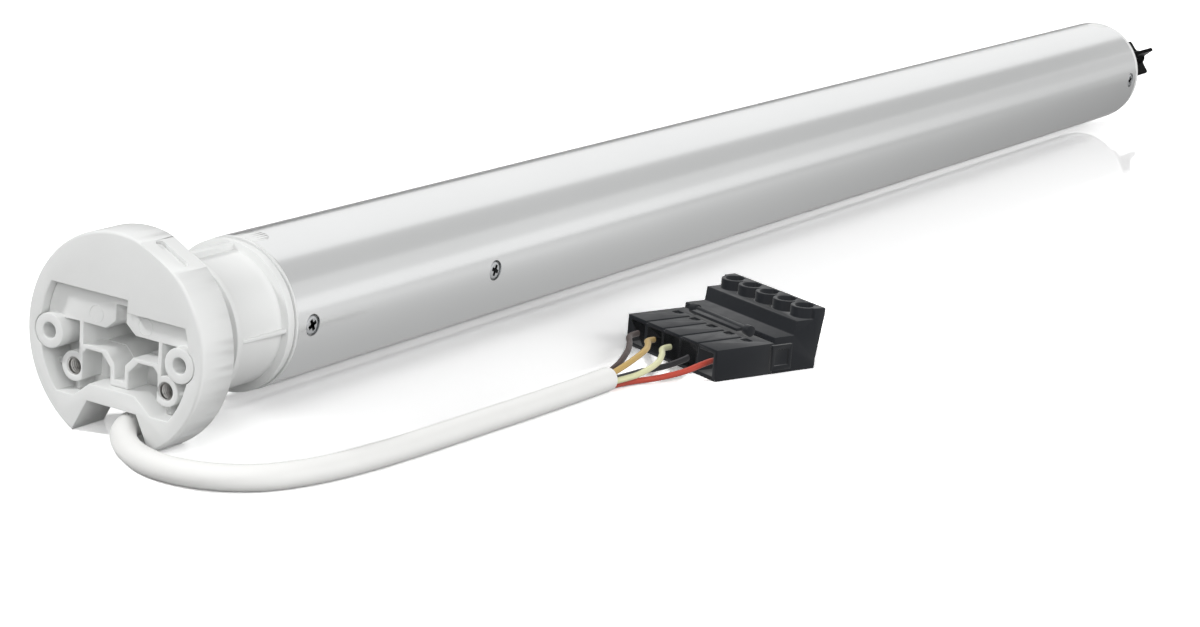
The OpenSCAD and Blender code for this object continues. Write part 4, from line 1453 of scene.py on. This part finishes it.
    def screws(self) -> bpy.types.Object:
        """All six screws, each copy with its own mesh, joined as one piece.

        Returns:
            The screws.
        """
        first = self.screw()
        lift = Matrix.Translation((0, 0, self.screw_seat * MM))
        copies = []
        for x, turn_deg in zip(self.stations, self.screw_turns_deg):
            for side in (1, -1):
                copy = new_object("screw_copy", first.data.copy())
                spin = Matrix.Rotation(math.radians(turn_deg), 4, "Z")
                tilt = Matrix.Rotation(math.radians(90 * side), 4, "X")
                copy.matrix_world = Matrix.Translation((x * MM, 0, 0)) @ tilt @ lift @ spin
                copies.append(settle(copy, "screw_copy"))
        bpy.data.objects.remove(first)
        return settle(join(copies), "tube_screw_set")

    def build(self) -> None:
        """Builds the tube's pieces."""
        self.mount(self.tube(), "root", "motor_tube", Slot.TUBE)
        screws = self.mount(self.screws(), "root", "tube_screws", Slot.SCREW)
        # Faces deep in each cross recess take the near black finish, painted shade in the recess.
        screws.data.materials.append(self.finishes.recess)
        for polygon in screws.data.polygons:
            x, y, z = polygon.center / MM
            off_axis = min(math.hypot(x - station, z) for station in self.stations)
            depth = self.screw_seat + self.head_t - abs(y)
            polygon.material_index = int(off_axis < self.cross_r and depth > self.painted_shade_from)
        self.soften("end_cap", "tube_end_cap", "root", Slot.WHITE, 0.2, 2)


@dataclass
class OutputSet(Assembly):
    """The plate over the gearbox and the star shaft that drives the roller."""

    def build(self) -> None:
        """Rounds the cast pieces' edges."""
        self.soften("end_plate", "gearbox_end_plate", "root", Slot.DARK, 0.3, 3)
        self.soften("output_shaft", "star_shaft", "output", Slot.DARK, 0.22, 3)


# Connector


@dataclass
class ConnectorSet(Assembly):
    """The five pole plug connector: plug half, terminal half, lever and clips."""

    def build(self) -> None:
        """Rounds the moulded pieces' edges."""
        for node, name, body, width_mm in (
                ("plug_housing", "connector_plug", "root", 0.22),
                ("terminal_housing", "connector_terminals", "root", 0.3),
                ("latch_lever", "connector_latch", "latch", 0.2),
                ("side_clips", "connector_clips", "root", 0.12)):
            piece = self.soften(node, name, body, Slot.BLACK, width_mm, 2)
            # The photograph's tube and floor show no mirror image of the connector.
            piece.visible_glossy = False


# Inner pieces


@dataclass
class InnerPieces(Assembly):
    """Finishes of the CAD nodes that stay as they are, most of them inside the tube."""

    def table(self) -> dict[bpy.types.Material, list[str]]:
        """The nodes that have each finish.

        Returns:
            Lists of nodes by their finish.
        """
        shared = self.finishes.by_slot
        planets = [f"stage{stage}_planet_{place}" for stage in (1, 2, 3) for place in "abc"]
        return {
            shared[Slot.WHITE]: ["strain_relief"],
            shared[Slot.DARK]: ["brake_coil"],
            shared[Slot.SCREW]: ["terminal_screws", "motor_bearings"],
            # Sintered and hardened steel of the gears, with an oily half bright skin.
            WorkedMetal("sintered_gear_steel", "7E8082", "94979A", 0.24, 0.38, 0.2).material():
                ["rotor_shaft", "brake_armature", "brake_plate", "ring_gear", "stage1_carrier",
                 "stage2_carrier", "output_carrier"],
            # Turned brass of the planets, the bush and the wire clamps.
            WorkedMetal("turned_brass", "B08A3E", "C6A052", 0.2, 0.34, 0.25).material():
                ["wire_clamps", "output_bush"] + planets,
            # Aluminium die casting of the motor's flanges: pale, with a coarse dull skin.
            WorkedMetal("die_cast_aluminium", "A9ABAD", "BABCBE", 0.4, 0.55, 0.8,
                        mark_depth_mm=0.02).material(): ["motor_flanges"],
            # Punched iron sheets of 0.5 mm: dark, with a painted highlight as the bright line of
            # each sheet's edge.
            StackedSheet("laminated_iron", "4A4A4C", "8B8C8E", 0.5, 0.0, 0.05,
                         0.4).material(): ["stator_core", "rotor_core"],
            # Enamelled copper wire of 0.6 mm: painted shade between its turns, and glossy on them
            # with a painted highlight.
            WoundWire("enamelled_copper", "6E3417", "C9773F", 0.6, 1.5, 0.2,
                      0.8).material(): ["stator_windings"],
            # Pressed lining of the brake: brown, grainy and dull.
            MouldedPlastic("pressed_brake_lining", "2E2722", "463A31", 0.8, 0.95, 0.8,
                           0.06).material(): ["brake_disc"],
            # Rubber rings that hold the capacitor: matt black.
            MouldedPlastic("moulded_rubber", "141414", "1C1C1C", 0.6, 0.75, 0.5,
                           0.02).material(): ["capacitor_rings"],
            # Grey polypropylene of the capacitor's case, the board's carrier and the switch.
            MouldedPlastic("moulded_grey_polypropylene", "B5B7B7", "BDBFBF", 0.4,
                           0.5).material(): ["board_carrier", "run_capacitor", "button_switch"],
            # Green solder resist: glossy, with the copper tracks paler under it.
            SolderResist("solder_resist_board").material(): ["control_board"],
        }

    def build(self) -> None:
        """Gives each of these nodes its finish."""
        for finish, nodes in self.table().items():
            for node in nodes:
                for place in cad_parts[node].material_slots:
                    place.material = finish
                LOG.info("node %s has finish %s", node, finish.name)
        # The photograph's tube and floor don't mirror these parts of the connector either.
        for node in ("terminal_screws", "wire_clamps"):
            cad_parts[node].visible_glossy = False


def main() -> None:
    """Builds the studio and every sub-assembly in order."""
    logging.basicConfig(level=logging.INFO, format="%(name)s: %(message)s")
    studio = Studio()
    studio.camera()
    finishes = Finishes()
    for group in (Cabling, HeadSet, CrownSet, TubeSet, OutputSet, ConnectorSet, InnerPieces):
        group(finishes).build()
    studio.build()


if __name__ == "__main__":
    main()
